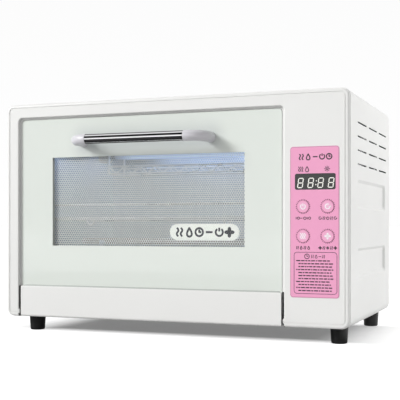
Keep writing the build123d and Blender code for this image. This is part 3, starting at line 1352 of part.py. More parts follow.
with BuildPart() as handle_screws:
    for x, _ in HANDLE_SPOTS:
        rod_y(SCREW_RADIUS, x, GLASS_RECESS - SCREW_BITE, SCREW_DEPTHS[1], HANDLE_HEIGHT)
        rod_y(
            SCREW_HEAD_RADIUS,
            x,
            SCREW_DEPTHS[1],
            SCREW_DEPTHS[1] + SCREW_HEAD_HEIGHT,
            HANDLE_HEIGHT,
        )
    with BuildSketch(front_plane(SCREW_DEPTHS[1] + SCREW_HEAD_HEIGHT)):
        cross_recess(HANDLE_SPOTS)
    extrude(amount=RECESS_SLOT_DEPTH, mode=Mode.SUBTRACT)
handle_screws.part.label = "handle_screws"
export_step(handle_screws.part, "parts/handle_screws.step")
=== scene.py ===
import bpy
import numpy as np
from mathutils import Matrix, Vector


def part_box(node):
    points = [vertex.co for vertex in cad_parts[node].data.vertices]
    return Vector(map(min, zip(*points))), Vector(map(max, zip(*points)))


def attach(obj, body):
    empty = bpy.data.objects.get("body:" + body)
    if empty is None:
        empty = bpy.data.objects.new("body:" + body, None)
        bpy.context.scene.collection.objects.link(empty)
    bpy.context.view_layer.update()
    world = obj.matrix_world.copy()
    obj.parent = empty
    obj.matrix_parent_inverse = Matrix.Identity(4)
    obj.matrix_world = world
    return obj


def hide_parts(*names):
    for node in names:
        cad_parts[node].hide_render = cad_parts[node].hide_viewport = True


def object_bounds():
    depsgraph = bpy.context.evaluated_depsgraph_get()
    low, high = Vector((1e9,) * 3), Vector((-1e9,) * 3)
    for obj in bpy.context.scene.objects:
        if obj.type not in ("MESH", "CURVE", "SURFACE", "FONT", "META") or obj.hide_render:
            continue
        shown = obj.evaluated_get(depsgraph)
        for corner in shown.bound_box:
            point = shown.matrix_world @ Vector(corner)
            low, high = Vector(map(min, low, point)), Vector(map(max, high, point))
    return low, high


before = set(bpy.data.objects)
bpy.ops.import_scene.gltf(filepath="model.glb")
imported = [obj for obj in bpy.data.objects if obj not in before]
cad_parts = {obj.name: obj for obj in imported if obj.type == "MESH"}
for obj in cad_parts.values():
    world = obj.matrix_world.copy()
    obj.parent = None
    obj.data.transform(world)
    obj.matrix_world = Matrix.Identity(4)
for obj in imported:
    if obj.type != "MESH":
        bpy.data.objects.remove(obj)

bl_info = {
    "name": "Steriliser Cabinet Finisher",
    "version": (1, 0, 0),
    "blender": (4, 5, 0),
    "location": "View3D > Sidebar > Steriliser",
    "description": "Finishes, prints and lights a bench-top drying and ultraviolet cabinet",
    "category": "Object",
}

CAD_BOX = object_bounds()
MM = 0.001


# ---- Places read from the frame ---------------------------------------------------------------
def span(node, axis):
    """Low and high end of a node along one axis, 0 for X, 1 for Y and 2 for Z."""
    low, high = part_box(node)
    return low[axis], high[axis]


def centre(node):
    """Middle of a node's box as three numbers."""
    low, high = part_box(node)
    return tuple((a + b) / 2 for a, b in zip(low, high))


def about(middle, reach):
    """Low and high end at a reach to either side of a middle."""
    return middle - reach, middle + reach


def inset(ends, margin):
    """Low and high end, each drawn in by a margin."""
    return ends[0] + margin, ends[1] - margin


GLASS_FRONT = span("door_glass", 1)[0]
PANEL_FRONT = span("control_overlay", 1)[0]
PANEL_X = span("control_overlay", 0)
PANEL_Z = span("control_overlay", 2)
CASE_Z = span("outer_wrap", 2)
CASE_Y = (span("front_frame", 1)[0], span("rear_panel", 1)[1])
CASE_HALF = (span("outer_wrap", 0)[1], (CASE_Y[1] - CASE_Y[0]) / 2)
CASE_MIDDLE = (0.0, sum(CASE_Y) / 2, 0.0)
BOX_MIDDLE = (CAD_BOX[0] + CAD_BOX[1]) / 2
STRIP_X = span("door_strip", 0)
STRIP_TOP = span("door_strip", 2)[1]
SCREEN_X = span("window_screen", 0)
SCREEN_Z = span("window_screen", 2)
SCREEN_MARGIN = 5 * MM
WINDOW_X = inset(SCREEN_X, SCREEN_MARGIN)
WINDOW_Z = inset(SCREEN_Z, SCREEN_MARGIN)
KEYS = ("upper_left", "upper_right", "lower_left", "lower_right")


# ---- Mesh building ----------------------------------------------------------------------------
def placed(name, data):
    """New object in the scene that holds a mesh, a lamp or a camera."""
    item = bpy.data.objects.new(name, data)
    bpy.context.collection.objects.link(item)
    return item


def new_piece(name, points, faces, body, slot, finish):
    """Mesh object from an array of points and an array of faces' corners, riding on a body."""
    mesh = bpy.data.meshes.new(name)
    mesh.vertices.add(len(points))
    mesh.vertices.foreach_set("co", np.asarray(points, np.float32).ravel())
    mesh.loops.add(faces.size)
    mesh.loops.foreach_set("vertex_index", faces.astype(np.int32).ravel())
    mesh.polygons.add(len(faces))
    starts = np.arange(0, faces.size, faces.shape[1], dtype=np.int32)
    mesh.polygons.foreach_set("loop_start", starts)
    mesh.polygons.foreach_set("use_smooth", np.zeros(len(faces), bool))
    mesh.update(calc_edges=True)
    mesh.materials.append(finish)
    piece = placed(name, mesh)
    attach(piece, body)
    return piece


def grid_faces(rows, columns, rows_wrap=False, columns_wrap=False):
    """Quads of a rows by columns grid of points, row after row.

    Each quad joins point (i, j) to (i, j + 1), (i + 1, j + 1) and (i + 1, j), and a wrapped
    direction joins its last line of points to its first.
    """
    i = np.arange(rows if rows_wrap else rows - 1)[:, None]
    j = np.arange(columns if columns_wrap else columns - 1)[None, :]
    i_next, j_next = (i + 1) % rows, (j + 1) % columns
    quads = (i * columns + j, i * columns + j_next, i_next * columns + j_next,
             i_next * columns + j)
    return np.stack([np.broadcast_to(q, (i.size, j.size)).ravel() for q in quads], axis=1)


def joined(shapes):
    """One (points, faces) pair from several, each shape's corner numbers moved up to fit."""
    counts = np.cumsum([0] + [len(points) for points, _ in shapes])
    points = np.concatenate([points for points, _ in shapes])
    faces = np.concatenate([faces + count for (_, faces), count in zip(shapes, counts)])
    return points, faces


def upright(flat, y):
    """Points in space from an array of (x, z) pairs, all on the upright plane at y."""
    return np.stack([flat[:, 0], np.full(len(flat), y), flat[:, 1]], axis=1)


def printed(name, shapes, y, body, slot, finish, thickness=0.0):
    """Piece of flat shapes on the upright plane at y, with a closed body behind if it is thick."""
    points, faces = joined(shapes)
    piece = new_piece(name, upright(points, y), faces, body, slot, finish)
    if thickness:
        solid = piece.modifiers.new("Thickness", "SOLIDIFY")
        solid.thickness = thickness
        solid.offset = -1.0


def ribbon(path, width, closed=False):
    """Flat stroke along a path of (x, z) pairs.

    At each point the stroke reaches half its width to either side, square to the tangent, and
    the tangent is the difference of the points on either side.
    """
    if closed:
        tangent = np.roll(path, -1, 0) - np.roll(path, 1, 0)
    else:
        tangent = np.gradient(path, axis=0)
    tangent /= np.linalg.norm(tangent, axis=1, keepdims=True)
    normal = np.stack([-tangent[:, 1], tangent[:, 0]], axis=1) * width / 2
    points = np.stack([path + normal, path - normal], axis=1).reshape(-1, 2)
    return points, grid_faces(len(path), 2, rows_wrap=closed)


def field(x, z, radius, steps=8):
    """Filled rounded rectangle as a grid of two parameters.

    The first runs round the rim: four quarter circles of the given radius, centred that far
    inside each corner. The second runs from a small copy of the rim at the middle outwards.
    """
    turn = np.linspace(0, np.pi / 2, steps)
    turns = np.concatenate([turn + k * np.pi / 2 for k in range(4)])
    corner_x = np.repeat([x[1] - radius, x[0] + radius, x[0] + radius, x[1] - radius], steps)
    corner_z = np.repeat([z[1] - radius, z[1] - radius, z[0] + radius, z[0] + radius], steps)
    rim = np.stack([corner_x + radius * np.cos(turns), corner_z + radius * np.sin(turns)], 1)
    middle = np.array([sum(x) / 2, sum(z) / 2])
    rings = np.array([0.001, 0.5, 1.0])[:, None, None]
    points = (middle + rings * (rim - middle)).reshape(-1, 2)
    return points, grid_faces(3, len(rim), columns_wrap=True)[:, ::-1]


def outline(x, z, radius, steps=8):
    """Closed path round a rounded rectangle, anticlockwise as seen from the front."""
    points, _ = field(x, z, radius, steps)
    return points[-4 * steps:]


# ---- Pictograms -------------------------------------------------------------------------------
def arc(radius, start, end, steps=32, middle=(0.0, 0.0)):
    """Path on a circle between two angles in degrees, anticlockwise from +X."""
    turn = np.radians(np.linspace(start, end, steps))
    return np.stack([middle[0] + radius * np.cos(turn), middle[1] + radius * np.sin(turn)], 1)


def segment(x0, z0, x1, z1):
    """Straight path between two points."""
    return np.array([[x0, z0], [x1, z1]], float)


def ring(radius, steps=32, middle=(0.0, 0.0)):
    """Closed path round a circle."""
    return arc(radius, 0, 360 - 360 / steps, steps, middle)


def wave(x, swing, waves):
    """Upright wave: its x is a sine of the height."""
    z = np.linspace(-0.5, 0.5, 24)
    return np.stack([x + swing * np.sin(2 * np.pi * z * waves), z], 1)


def teardrop():
    """Teardrop: the width is a sine of the turn, narrowed towards the tip by a power of it."""
    turn = np.linspace(0.12, 2 * np.pi - 0.12, 36)
    return np.stack([-0.42 * np.sin(turn) * np.sin(turn / 2) ** 1.5, 0.5 * np.cos(turn)], 1)


def star():
    """Star of four points: the radius swings between two values as the turn goes round."""
    turn = np.linspace(0, 2 * np.pi, 48, endpoint=False)
    radius = 0.12 + 0.38 * np.abs(np.cos(2 * turn)) ** 3
    return np.stack([radius * np.cos(turn), radius * np.sin(turn)], 1)


# Each pictogram's paths in a square of side 1, every one with whether it is closed
ICONS = {
    "heat": [(wave(x, 0.08, 1.5), False) for x in (-0.34, 0.0, 0.34)],
    "waves": [(wave(x, 0.1, 1.25), False) for x in (-0.24, 0.24)],
    "rays": [(ring(0.17), True)] + [(np.stack([0.3 * way, 0.5 * way]), False)
                                    for way in ring(1.0, 8)],
    "drop": [(teardrop(), True)],
    "clock": [(ring(0.45), True), (segment(0, -0.05, 0, 0.3), False),
              (segment(0, 0, 0.24, 0), False)],
    "dash": [(segment(-0.4, 0, 0.4, 0), False)],
    "power": [(arc(0.42, 125, 415), False), (segment(0, 0.08, 0, 0.5), False)],
    "loop": [(arc(0.4, 60, 350), False), (segment(0.22, 0.02, 0.41, -0.1), False),
             (segment(0.41, -0.1, 0.54, 0.1), False)],
    "sparkle": [(star(), True)],
    "bar_ring": [(segment(-0.45, -0.4, -0.45, 0.4), False),
                 (ring(0.36, middle=(0.3, 0.0)), True)],
}


def drawn(icon, x, z, size, width):
    """Ribbons of a pictogram, scaled to a size and moved to a place."""
    return [ribbon(path * size + (x, z), width, closed) for path, closed in ICONS[icon]]


def icon_row(icons, x, z, size, width):
    """Pictograms side by side, spread evenly between two ends: their names are one text."""
    names = icons.split()
    places = np.linspace(x[0] + size / 2, x[1] - size / 2, len(names))
    return [stroke for name, place in zip(names, places)
            for stroke in drawn(name, place, z, size, width)]


# ---- Shared effects: node groups that put out colours, masks, values and heights ----------------
class Wiring:
    """Short way to place nodes and join their sockets in one tree."""

    def __init__(self, tree):
        self.tree = tree

    def add(self, kind, inputs=None, **settings):
        """New node with its settings, and inputs as values or as sockets to join."""
        node = self.tree.nodes.new(kind)
        for name, value in settings.items():
            setattr(node, name, value)
        for name, value in (inputs or {}).items():
            self.put(node, name, value)
        return node

    def put(self, node, name, value):
        """Sets one input, or joins it when the value is a socket."""
        if isinstance(value, bpy.types.NodeSocket):
            self.tree.links.new(value, node.inputs[name])
        else:
            node.inputs[name].default_value = value

    def math(self, operation, first, second=0.0):
        """Result of a Math node."""
        return self.add("ShaderNodeMath", {0: first, 1: second}, operation=operation).outputs[0]

    def times(self, first, second):
        """Product of two values."""
        return self.math("MULTIPLY", first, second)

    def vector(self, operation, first, second=(0.0, 0.0, 0.0)):
        """Result of a Vector Math node: a number for a length or a dot product."""
        node = self.add("ShaderNodeVectorMath", {0: first, 1: second}, operation=operation)
        return node.outputs["Value" if operation in ("LENGTH", "DOT_PRODUCT") else "Vector"]

    def axes(self, vector):
        """X, Y and Z of a vector."""
        return self.add("ShaderNodeSeparateXYZ", {0: vector}).outputs

    def mix(self, factor, first, second):
        """Colour between two colours."""
        node = self.add("ShaderNodeMix", data_type="RGBA")
        for name, value in ((0, factor), (6, first), (7, second)):
            self.put(node, name, value)
        return node.outputs[2]

    def ramp(self, value, low, high, to_low=0.0, to_high=1.0):
        """Value carried from one range to another and held at its ends."""
        return self.add("ShaderNodeMapRange", {
            "Value": value, "From Min": low, "From Max": high, "To Min": to_low,
            "To Max": to_high}).outputs[0]

    def noise(self, place, scale, detail=3.0, roughness=0.5):
        """Noise value at a place."""
        return self.add("ShaderNodeTexNoise", {
            "Vector": place, "Scale": scale, "Detail": detail,
            "Roughness": roughness}).outputs[0]

    def place(self):
        """Object coordinates in metres."""
        return self.add("ShaderNodeTexCoord").outputs["Object"]

    def slope(self):
        """Direction in which the surface faces."""
        return self.add("ShaderNodeNewGeometry").outputs["Normal"]

    def group(self, key, **values):
        """Placed effect with its own values: returns its outputs."""
        node = self.tree.nodes.new("ShaderNodeGroup")
        node.node_tree = EFFECTS[key]
        for name, value in values.items():
            self.put(node, name.replace("_", " "), value)
        return node.outputs


# Kind of a group's input from the count of its numbers, and of its output from its type
INPUT_KINDS = {1: "NodeSocketFloat", 3: "NodeSocketVector", 4: "NodeSocketColor"}
OUTPUT_KINDS = {"VALUE": "NodeSocketFloat", "RGBA": "NodeSocketColor"}
RECIPES = {}
EFFECTS = {}


def effect(key, name, **inputs):
    """Marks the recipe of a shared node group, with the named inputs and their defaults."""
    def keep(recipe):
        RECIPES[key] = (name, inputs, recipe)
        return recipe
    return keep


def make_effects():
    """Builds each shared node group once: its recipe returns a socket for each named output."""
    for key, (name, inputs, recipe) in RECIPES.items():
        tree = bpy.data.node_groups.new(name, "ShaderNodeTree")
        for label, default in inputs.items():
            made = tree.interface.new_socket(label.replace("_", " "), in_out="INPUT",
                                             socket_type=INPUT_KINDS[np.size(default)])
            made.default_value = default
        w = Wiring(tree)
        results = recipe(w, w.add("NodeGroupInput").outputs)
        for label, socket in results.items():
            tree.interface.new_socket(label, in_out="OUTPUT",
                                      socket_type=OUTPUT_KINDS[socket.type])
        w.add("NodeGroupOutput", results)
        EFFECTS[key] = tree


@effect("tone", "Tone Drift", Colour=(0.8, 0.8, 0.8, 1), Second_Colour=(0.7, 0.7, 0.7, 1),
        Scale=20.0, Amount=0.3)
def tone_drift(w, given):
    """Base colour that drifts towards a second colour in soft clouds, with fine flecks."""
    clouds = w.ramp(w.noise(w.place(), given["Scale"], 2.0), 0.35, 0.65)
    flecks = w.noise(w.place(), w.times(given["Scale"], 40.0), 1.0)
    share = w.times(given["Amount"], w.times(clouds, flecks))
    return {"Colour": w.mix(share, given["Colour"], given["Second Colour"])}


@effect("handling", "Handling Smears", Roughness=0.4, Spread=0.05, Scale=14.0)
def handling_smears(w, given):
    """Roughness that changes in smears, as where hands and cloths have passed."""
    stretched = w.add("ShaderNodeMapping", {"Vector": w.place(), "Rotation": (0.3, 0.6, 0.2),
                                            "Scale": (1.0, 1.0, 2.4)}).outputs[0]
    smears = w.ramp(w.noise(stretched, given["Scale"], 5.0, 0.62), 0.35, 0.7, -1.0, 1.0)
    return {"Roughness": w.math("ADD", given["Roughness"], w.times(smears, given["Spread"]))}


@effect("peel", "Skin Ripple", Scale=900.0, Grain=0.3)
def skin_ripple(w, given):
    """Height of a sprayed or moulded skin: rounded ripples with a fine grain on them."""
    ripples = w.noise(w.place(), given["Scale"], 1.0)
    grain = w.noise(w.place(), w.times(given["Scale"], 4.0), 2.0)
    return {"Height": w.math("ADD", ripples, w.times(grain, given["Grain"]))}


@effect("brushing", "Brushed Lines", Stretch=(4.0, 900.0, 900.0))
def brushed_lines(w, given):
    """Height and mask of fine scratches that run along one direction of a metal sheet."""
    lines = w.noise(w.vector("MULTIPLY", w.place(), given["Stretch"]), 1.0, 4.0, 0.6)
    return {"Height": lines, "Mask": w.ramp(lines, 0.4, 0.6)}


@effect("dust", "Settled Dust", Colour=(0.8, 0.8, 0.8, 1), Dust_Colour=(0.6, 0.57, 0.52, 1),
        Amount=0.1)
def settled_dust(w, given):
    """Colour with a film of dust on faces that look up, broken into soft patches."""
    upward = w.ramp(w.axes(w.slope())["Z"], 0.3, 1.0)
    patches = w.ramp(w.noise(w.place(), 35.0, 4.0), 0.3, 0.7, 0.3, 1.0)
    share = w.times(w.times(upward, patches), given["Amount"])
    return {"Colour": w.mix(share, given["Colour"], given["Dust Colour"])}


@effect("inner", "Inner Faces", Centre=(0, 0, 0))
def inner_faces(w, given):
    """Mask of the faces that look towards a point inside: the slope of the surface against the
    line from that point is below zero."""
    away = w.vector("SUBTRACT", w.place(), given["Centre"])
    return {"Mask": w.math("LESS_THAN", w.vector("DOT_PRODUCT", away, w.slope()), 0.0)}


@effect("reach", "Reach From Rectangle", Centre=(0, 0, 0), Half_Size=(1, 1, 1))
def reach_from_rectangle(w, given):
    """Distance of a place from a box that lies along the axes, 0 inside it."""
    offset = w.vector("ABSOLUTE", w.vector("SUBTRACT", w.place(), given["Centre"]))
    held = w.vector("MAXIMUM", w.vector("SUBTRACT", offset, given["Half Size"]))
    return {"Reach": w.vector("LENGTH", held)}


@effect("field", "Rectangle Mask", Centre=(0, 0, 0), Half_Size=(1, 0, 1))
def rectangle_mask(w, given):
    """Mask that is 1 inside an upright rectangle of X and Z and 0 outside it."""
    offset = w.vector("ABSOLUTE", w.vector("SUBTRACT", w.place(), given["Centre"]))
    inside = w.axes(w.vector("SUBTRACT", given["Half Size"], offset))
    return {"Mask": w.math("GREATER_THAN", w.math("MINIMUM", inside["X"], inside["Z"]), 0.0)}


@effect("fade", "Round Fade", Centre=(0, 0, 0), Inner=0.001, Outer=0.006)
def round_fade(w, given):
    """Mask that falls from 1 to 0 between two radii round a level axis along Y."""
    offset = w.vector("SUBTRACT", w.place(), given["Centre"])
    reach = w.vector("LENGTH", w.vector("MULTIPLY", offset, (1.0, 0.0, 1.0)))
    return {"Mask": w.ramp(reach, given["Inner"], given["Outer"], 1.0, 0.0)}


@effect("depth", "Depth Mask", Start=0.0, Rise=0.001)
def depth_mask(w, given):
    """Mask that rises from 0 at a level across Y to 1 a short way behind it."""
    past = w.math("SUBTRACT", w.axes(w.place())["Y"], given["Start"])
    return {"Mask": w.ramp(past, 0.0, given["Rise"])}


# ---- Materials --------------------------------------------------------------------------------
# Colour that the skin drifts to (None where a setting gives it), roughness and its spread,
# share and scale of the drift, scale and depth of the ripples, and share of dust
SKINS = {
    "White Powder Coat": (None, 0.42, 0.04, 0.3, 12.0, 1100.0, 2e-5, 0.04),
    "White Moulded Plastic": (None, 0.36, 0.04, 0.2, 16.0, 2200.0, 8e-6, 0.04),
    "White Front Moulding With Painted Recess Shade": (None, 0.36, 0.04, 0.2, 16.0, 2200.0, 8e-6, 0.04),
    "Black Gauze Painted Slot Shade": ((0.05, 0.048, 0.045), 0.55, 0.06, 0.5, 90.0, 2600.0, 6e-6, 0.1),
    "Black Foot Rubber": ((0.020, 0.020, 0.020), 0.38, 0.06, 0.5, 60.0, 2600.0, 1e-5, 0.02),
    "Grey Sealing Bead And Painted Shade Line": ((0.39, 0.40, 0.39), 0.4, 0.05, 0.4, 40.0, 1500.0, 1e-5, 0.03),
    "Pale Arm Plastic": ((0.58, 0.57, 0.62), 0.3, 0.04, 0.3, 50.0, 2400.0, 6e-6, 0.05),
    "Pink Overlay Film": (None, 0.34, 0.04, 0.3, 30.0, 1800.0, 6e-6, 0.0),
    "Tinted Lens": ((0.06, 0.06, 0.06), 0.12, 0.04, 0.3, 60.0, 400.0, 1e-6, 0.0),
    "Seal Silicone": ((0.54, 0.54, 0.52), 0.55, 0.06, 0.4, 40.0, 1500.0, 1e-5, 0.0),
    "Holder Ceramic": ((0.70, 0.68, 0.62), 0.3, 0.05, 0.4, 80.0, 1200.0, 1e-5, 0.0),
    "Black Moulded Plastic": ((0.045, 0.045, 0.047), 0.4, 0.07, 0.5, 40.0, 2000.0, 1e-5, 0.08),
    "Board Laminate": ((0.03, 0.11, 0.05), 0.35, 0.05, 0.6, 200.0, 1500.0, 1e-5, 0.0),
    "Dark Magnet": ((0.09, 0.085, 0.08), 0.5, 0.06, 0.5, 120.0, 1600.0, 1e-5, 0.0),
}
# The rest of such a row for printed ink, after its second colour and roughness
INK_TEXTURE = (0.08, 0.35, 300.0, 3000.0, 4e-6, 0.0)

# Second colour in the lines of a metal, roughness and its spread, and the stretch and depth of
# the lines
METALS = {
    "Polished Chrome": ((0.76, 0.76, 0.78), 0.05, 0.02, (6.0, 600.0, 600.0), 4e-7),
    # partly painted light: the chamber steel's blue tint stands in for the lamp's blue light on it
    "Satin Chamber Steel With Painted Lamp Light": ((0.42, 0.49, 0.60), 0.38, 0.06, (5.0, 5.0, 700.0), 4e-6),
    "Bright Aluminium": ((0.76, 0.77, 0.78), 0.22, 0.06, (5.0, 500.0, 500.0), 4e-6),
    "Chromed Wire": ((0.44, 0.46, 0.50), 0.30, 0.05, (60.0, 60.0, 60.0), 2e-6),
    "Bright Guard Wire": ((0.78, 0.80, 0.84), 0.30, 0.05, (60.0, 60.0, 60.0), 2e-6),
    "Heater Sheath": ((0.22, 0.20, 0.20), 0.42, 0.1, (20.0, 160.0, 400.0), 6e-6),
    "Bright Fastener Steel": ((0.60, 0.60, 0.60), 0.26, 0.08, (300.0, 40.0, 300.0), 3e-6),
}
# How far a surface is turned from the eye between which a rim darkens, as painted dark reflection
RIM_SHADE_FALL = (0.43, 0.51)
# Where the painted shade on the walls of the door's recess begins, and how far it reaches beyond
# the door strip
RECESS_START = CASE_Y[0] + 0.5 * MM
RECESS_RISE = 0.9 * MM
RECESS_MARGIN = 4 * MM
WHITE = (1.0, 1.0, 1.0, 1.0)
BLACK = (0.0, 0.0, 0.0, 1.0)


def new_finish(name):
    """Empty material: returns it, its wiring and its Principled surface."""
    material = bpy.data.materials.new(name)
    material.use_nodes = True
    material.node_tree.nodes.clear()
    w = Wiring(material.node_tree)
    surface = w.add("ShaderNodeBsdfPrincipled")
    w.add("ShaderNodeOutputMaterial", {0: surface.outputs[0]})
    return material, w, surface


def rgba(colour):
    """Four numbers for a colour socket."""
    return (*tuple(colour)[:3], 1.0)


def rectangle(x, z):
    """Centre and half size of an upright rectangle, for the effects that ask for them."""
    return {"Centre": (sum(x) / 2, 0.0, sum(z) / 2),
            "Half_Size": ((x[1] - x[0]) / 2, 1.0, (z[1] - z[0]) / 2)}


def bump(w, surface, height, distance):
    """Joins a height to the surface's normal."""
    node = w.add("ShaderNodeBump", {"Height": height, "Distance": distance, "Strength": 1.0})
    w.put(surface, "Normal", node.outputs[0])


def skin(name, colour, shade=None, texture=None, inside=None, recess=None, **fixed):
    """Painted, moulded or cast finish: drifting tone, smeared roughness and a rippled skin.

    Its texture is its row of SKINS unless one is given. Where a colour is given for the inside,
    faces that look inwards have it, darkened as painted shade. A recess is given as the colours
    of painted shade on its walls and in its pockets, which darken behind the front face.
    """
    own_shade, roughness, spread, drift, drift_scale, ripple, depth, dust = (
        texture or SKINS[name])
    material, w, surface = new_finish(name)
    tone = w.group("tone", Colour=rgba(colour), Scale=drift_scale, Amount=drift,
                   Second_Colour=rgba(own_shade if shade is None else shade))[0]
    if dust:
        tone = w.group("dust", Colour=tone, Amount=dust)[0]
    # partly painted shade: faces that look inwards are darkened so the slots read dark
    if inside is not None:
        tone = w.mix(w.group("inner", Centre=tuple(BOX_MIDDLE))[0], tone, rgba(inside))
    # painted shade: behind the front face the recess walls and the pockets beside the door strip
    # darken
    if recess is not None:
        behind = w.group("depth", Start=RECESS_START, Rise=RECESS_RISE)[0]
        for wall_shade, top in zip(recess, (CASE_Z[1], STRIP_TOP)):
            opening = w.group("field", **rectangle(inset(STRIP_X, -RECESS_MARGIN),
                                                   about(CASE_Z[0], top - CASE_Z[0])))[0]
            tone = w.mix(w.times(behind, opening), tone, rgba(wall_shade))
    w.put(surface, "Base Color", tone)
    w.put(surface, "Roughness", w.group("handling", Roughness=roughness, Spread=spread)[0])
    bump(w, surface, w.group("peel", Scale=ripple)[0], depth)
    for socket, value in fixed.items():
        w.put(surface, socket.replace("_", " "), value)
    return material


def metal(name, colour, rim=None):
    """Bare metal with lines of brushing or drawing along one direction.

    Where a rim colour is given, surfaces that turn away from the eye darken to it, a painted dark
    reflection.
    """
    second, roughness, spread, stretch, depth = METALS[name]
    material, w, surface = new_finish(name)
    lines = w.group("brushing", Stretch=stretch)
    tone = w.mix(w.times(lines["Mask"], 0.5), rgba(colour), rgba(second))
    # painted reflection: the colour darkens to the rim colour as the surface turns away from the
    # eye
    if rim is not None:
        turned = w.add("ShaderNodeLayerWeight", {"Blend": 0.5}).outputs["Facing"]
        tone = w.mix(w.ramp(turned, *RIM_SHADE_FALL), tone, rgba(rim))
    w.put(surface, "Base Color", tone)
    w.put(surface, "Roughness", w.group("handling", Roughness=roughness, Spread=spread,
                                        Scale=22.0)[0])
    bump(w, surface, lines["Height"], depth)
    w.put(surface, "Metallic", 1.0)
    return material


def ink(name, colour, roughness=0.5, glow=0.0):
    """Printed ink: even colour with faint thin patches and a matt skin."""
    pale = tuple(min(1.0, c * 1.25 + 0.01) for c in tuple(colour)[:3])
    fixed = {"Emission_Color": rgba(colour), "Emission_Strength": glow} if glow else {}
    return skin(name, colour, texture=(pale, roughness, *INK_TEXTURE), **fixed)


def finish_nodes(material, *nodes):
    """Puts one material on CAD nodes."""
    for node in nodes:
        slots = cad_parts[node].data.materials
        slots.clear()
        slots.append(material)


# ---- Settings -----------------------------------------------------------------------------------
def colour_setting(label, description, default):
    """Colour property with a swatch."""
    return bpy.props.FloatVectorProperty(
        name=label, description=description, subtype="COLOR", size=3, min=0.0, max=1.0,
        default=default)


def number_setting(label, description, default, low=0.0, **more):
    """Number property with a lowest value."""
    return bpy.props.FloatProperty(name=label, description=description, default=default,
                                   min=low, **more)


def length_setting(label, description, default):
    """Length property in metres."""
    return number_setting(label, description, default, unit="LENGTH", precision=5)


def share_setting(label, description, default):
    """Property for a share of the whole."""
    return number_setting(label, description, default, max=1.0, subtype="FACTOR")


def angle_setting(label, description, degrees):
    """Angle property, held in radians."""
    return number_setting(label, description, np.radians(degrees), -np.pi, subtype="ANGLE")


class CaseFinish(bpy.types.PropertyGroup):
    """Colours of the painted and moulded outside."""
    paint: colour_setting("Paint", "Powder coat of the folded sheets", (0.79, 0.79, 0.775))
    paint_shade: colour_setting("Paint shade", "Colour that the coat drifts to",
                                (0.75, 0.75, 0.73))
    # partly painted shade: uncoated inner faces, made dark so the slots read dark
    bare_and_shade: colour_setting("Bare inside", "Uncoated inner faces of the sheets",
                         (0.16, 0.165, 0.17))
    moulding: colour_setting("Moulding", "Front frame and door strip", (0.80, 0.80, 0.785))
    # painted shade: the next two colours darken the walls round the door and the gaps beside the
    # door strip
    wall_shade: colour_setting("Recess wall", "Walls round the door", (0.76, 0.76, 0.75))
    pocket_shade: colour_setting("Hinge pocket", "Gaps beside the door strip", (0.085, 0.085, 0.08))
    rubber: colour_setting("Rubber", "Feet", (0.012, 0.012, 0.0125))


class DoorFinish(bpy.types.PropertyGroup):
    """Colours and sizes of the door and its handle."""
    back_paint: colour_setting("Back paint", "Paint seen through the glass",
                               (0.725, 0.765, 0.72))
    haze: share_setting("Haze", "Share of light that the clear window holds back at each face",
                        0.05)
    print_colour: colour_setting("Print", "Perforated print behind the window",
                                 (0.83, 0.85, 0.84))
    print_pitch: length_setting("Print pitch", "Distance between holes of the print",
                                2.6 * MM)
    print_open: number_setting("Print opening", "Width of a hole as a share of its cell", 0.74,
                               0.1, max=0.95, subtype="FACTOR")
    chrome: colour_setting("Chrome", "Handle bar", (0.82, 0.82, 0.83))
    # painted reflection: the bar's dark rim where it turns away
    chrome_rim_shade: colour_setting("Chrome rim", "Where the bar turns away", (0.07, 0.07, 0.075))
    arm: colour_setting("Arms", "Moulded handle arms", (0.64, 0.63, 0.665))
    # painted shade: the glass darkens close behind the handle
    handle_shade: colour_setting("Handle shade", "Glass close behind the handle",
                                 (0.45, 0.48, 0.49))
    # partly painted shade: the bead's grey stands in for the shade line above the door strip
    bead: colour_setting("Bead", "Sealing bead between the glass and the strip",
                         (0.42, 0.435, 0.42))
    bead_radius: length_setting("Bead radius", "Size of that bead", 1.3 * MM)
    badge: colour_setting("Badge", "Plain field in the corner of the window",
                          (0.86, 0.89, 0.84))
    badge_ink: colour_setting("Badge ink", "Pictograms in that field", (0.018, 0.018, 0.035))


class PanelFinish(bpy.types.PropertyGroup):
    """Colours and sizes of the control panel."""
    overlay: colour_setting("Overlay", "Printed film", (0.84, 0.365, 0.565))
    overlay_shade: colour_setting("Overlay shade", "Colour that the film drifts to",
                                  (0.80, 0.34, 0.54))
    ink: colour_setting("Ink", "Pictograms and lines", (0.05, 0.032, 0.042))
    tick: colour_setting("Ticks", "Rings round the keys", (0.22, 0.075, 0.13))
    # painted shade: a dark line round the film stands in for the shade at its edge
    border_shade_line: colour_setting("Border", "Line round the film", (0.50, 0.22, 0.33))
    key_light: colour_setting("Key centre", "Pale middle of a key", (0.85, 0.52, 0.68))
    key_ink: colour_setting("Key ink", "Pictograms on the keys", (0.90, 0.88, 0.89))
    lens: colour_setting("Lens", "Tinted display window", (0.040, 0.040, 0.040))
    digit: colour_setting("Digits", "Lit segments", (0.86, 0.85, 0.79))
    ink_lift: length_setting("Ink lift", "Height of the print above its surface", 0.04 * MM)


class ChamberFinish(bpy.types.PropertyGroup):
    """Colours of the chamber and what it holds."""
    # partly painted light: the blue tint stands in for the lamp's blue light on the chamber
    steel: colour_setting("Chamber steel", "Sheet of the chamber", (0.49, 0.57, 0.68))
    wire: colour_setting("Wire", "Chromed wire", (0.50, 0.53, 0.57))
    sheath: colour_setting("Heater sheath", "Drawn steel tube", (0.34, 0.31, 0.29))
    glow: colour_setting("Lamp light", "Light of the lamp", (0.50, 0.68, 1.0))
    glow_strength: number_setting("Lamp strength", "Strength of the lamp's light", 2.5)
    glow_seen: number_setting("Lamp as seen", "Strength of the lit tube to the eye", 0.85)
    ceramic: colour_setting("Ceramic", "Lamp holders", (0.78, 0.76, 0.70))


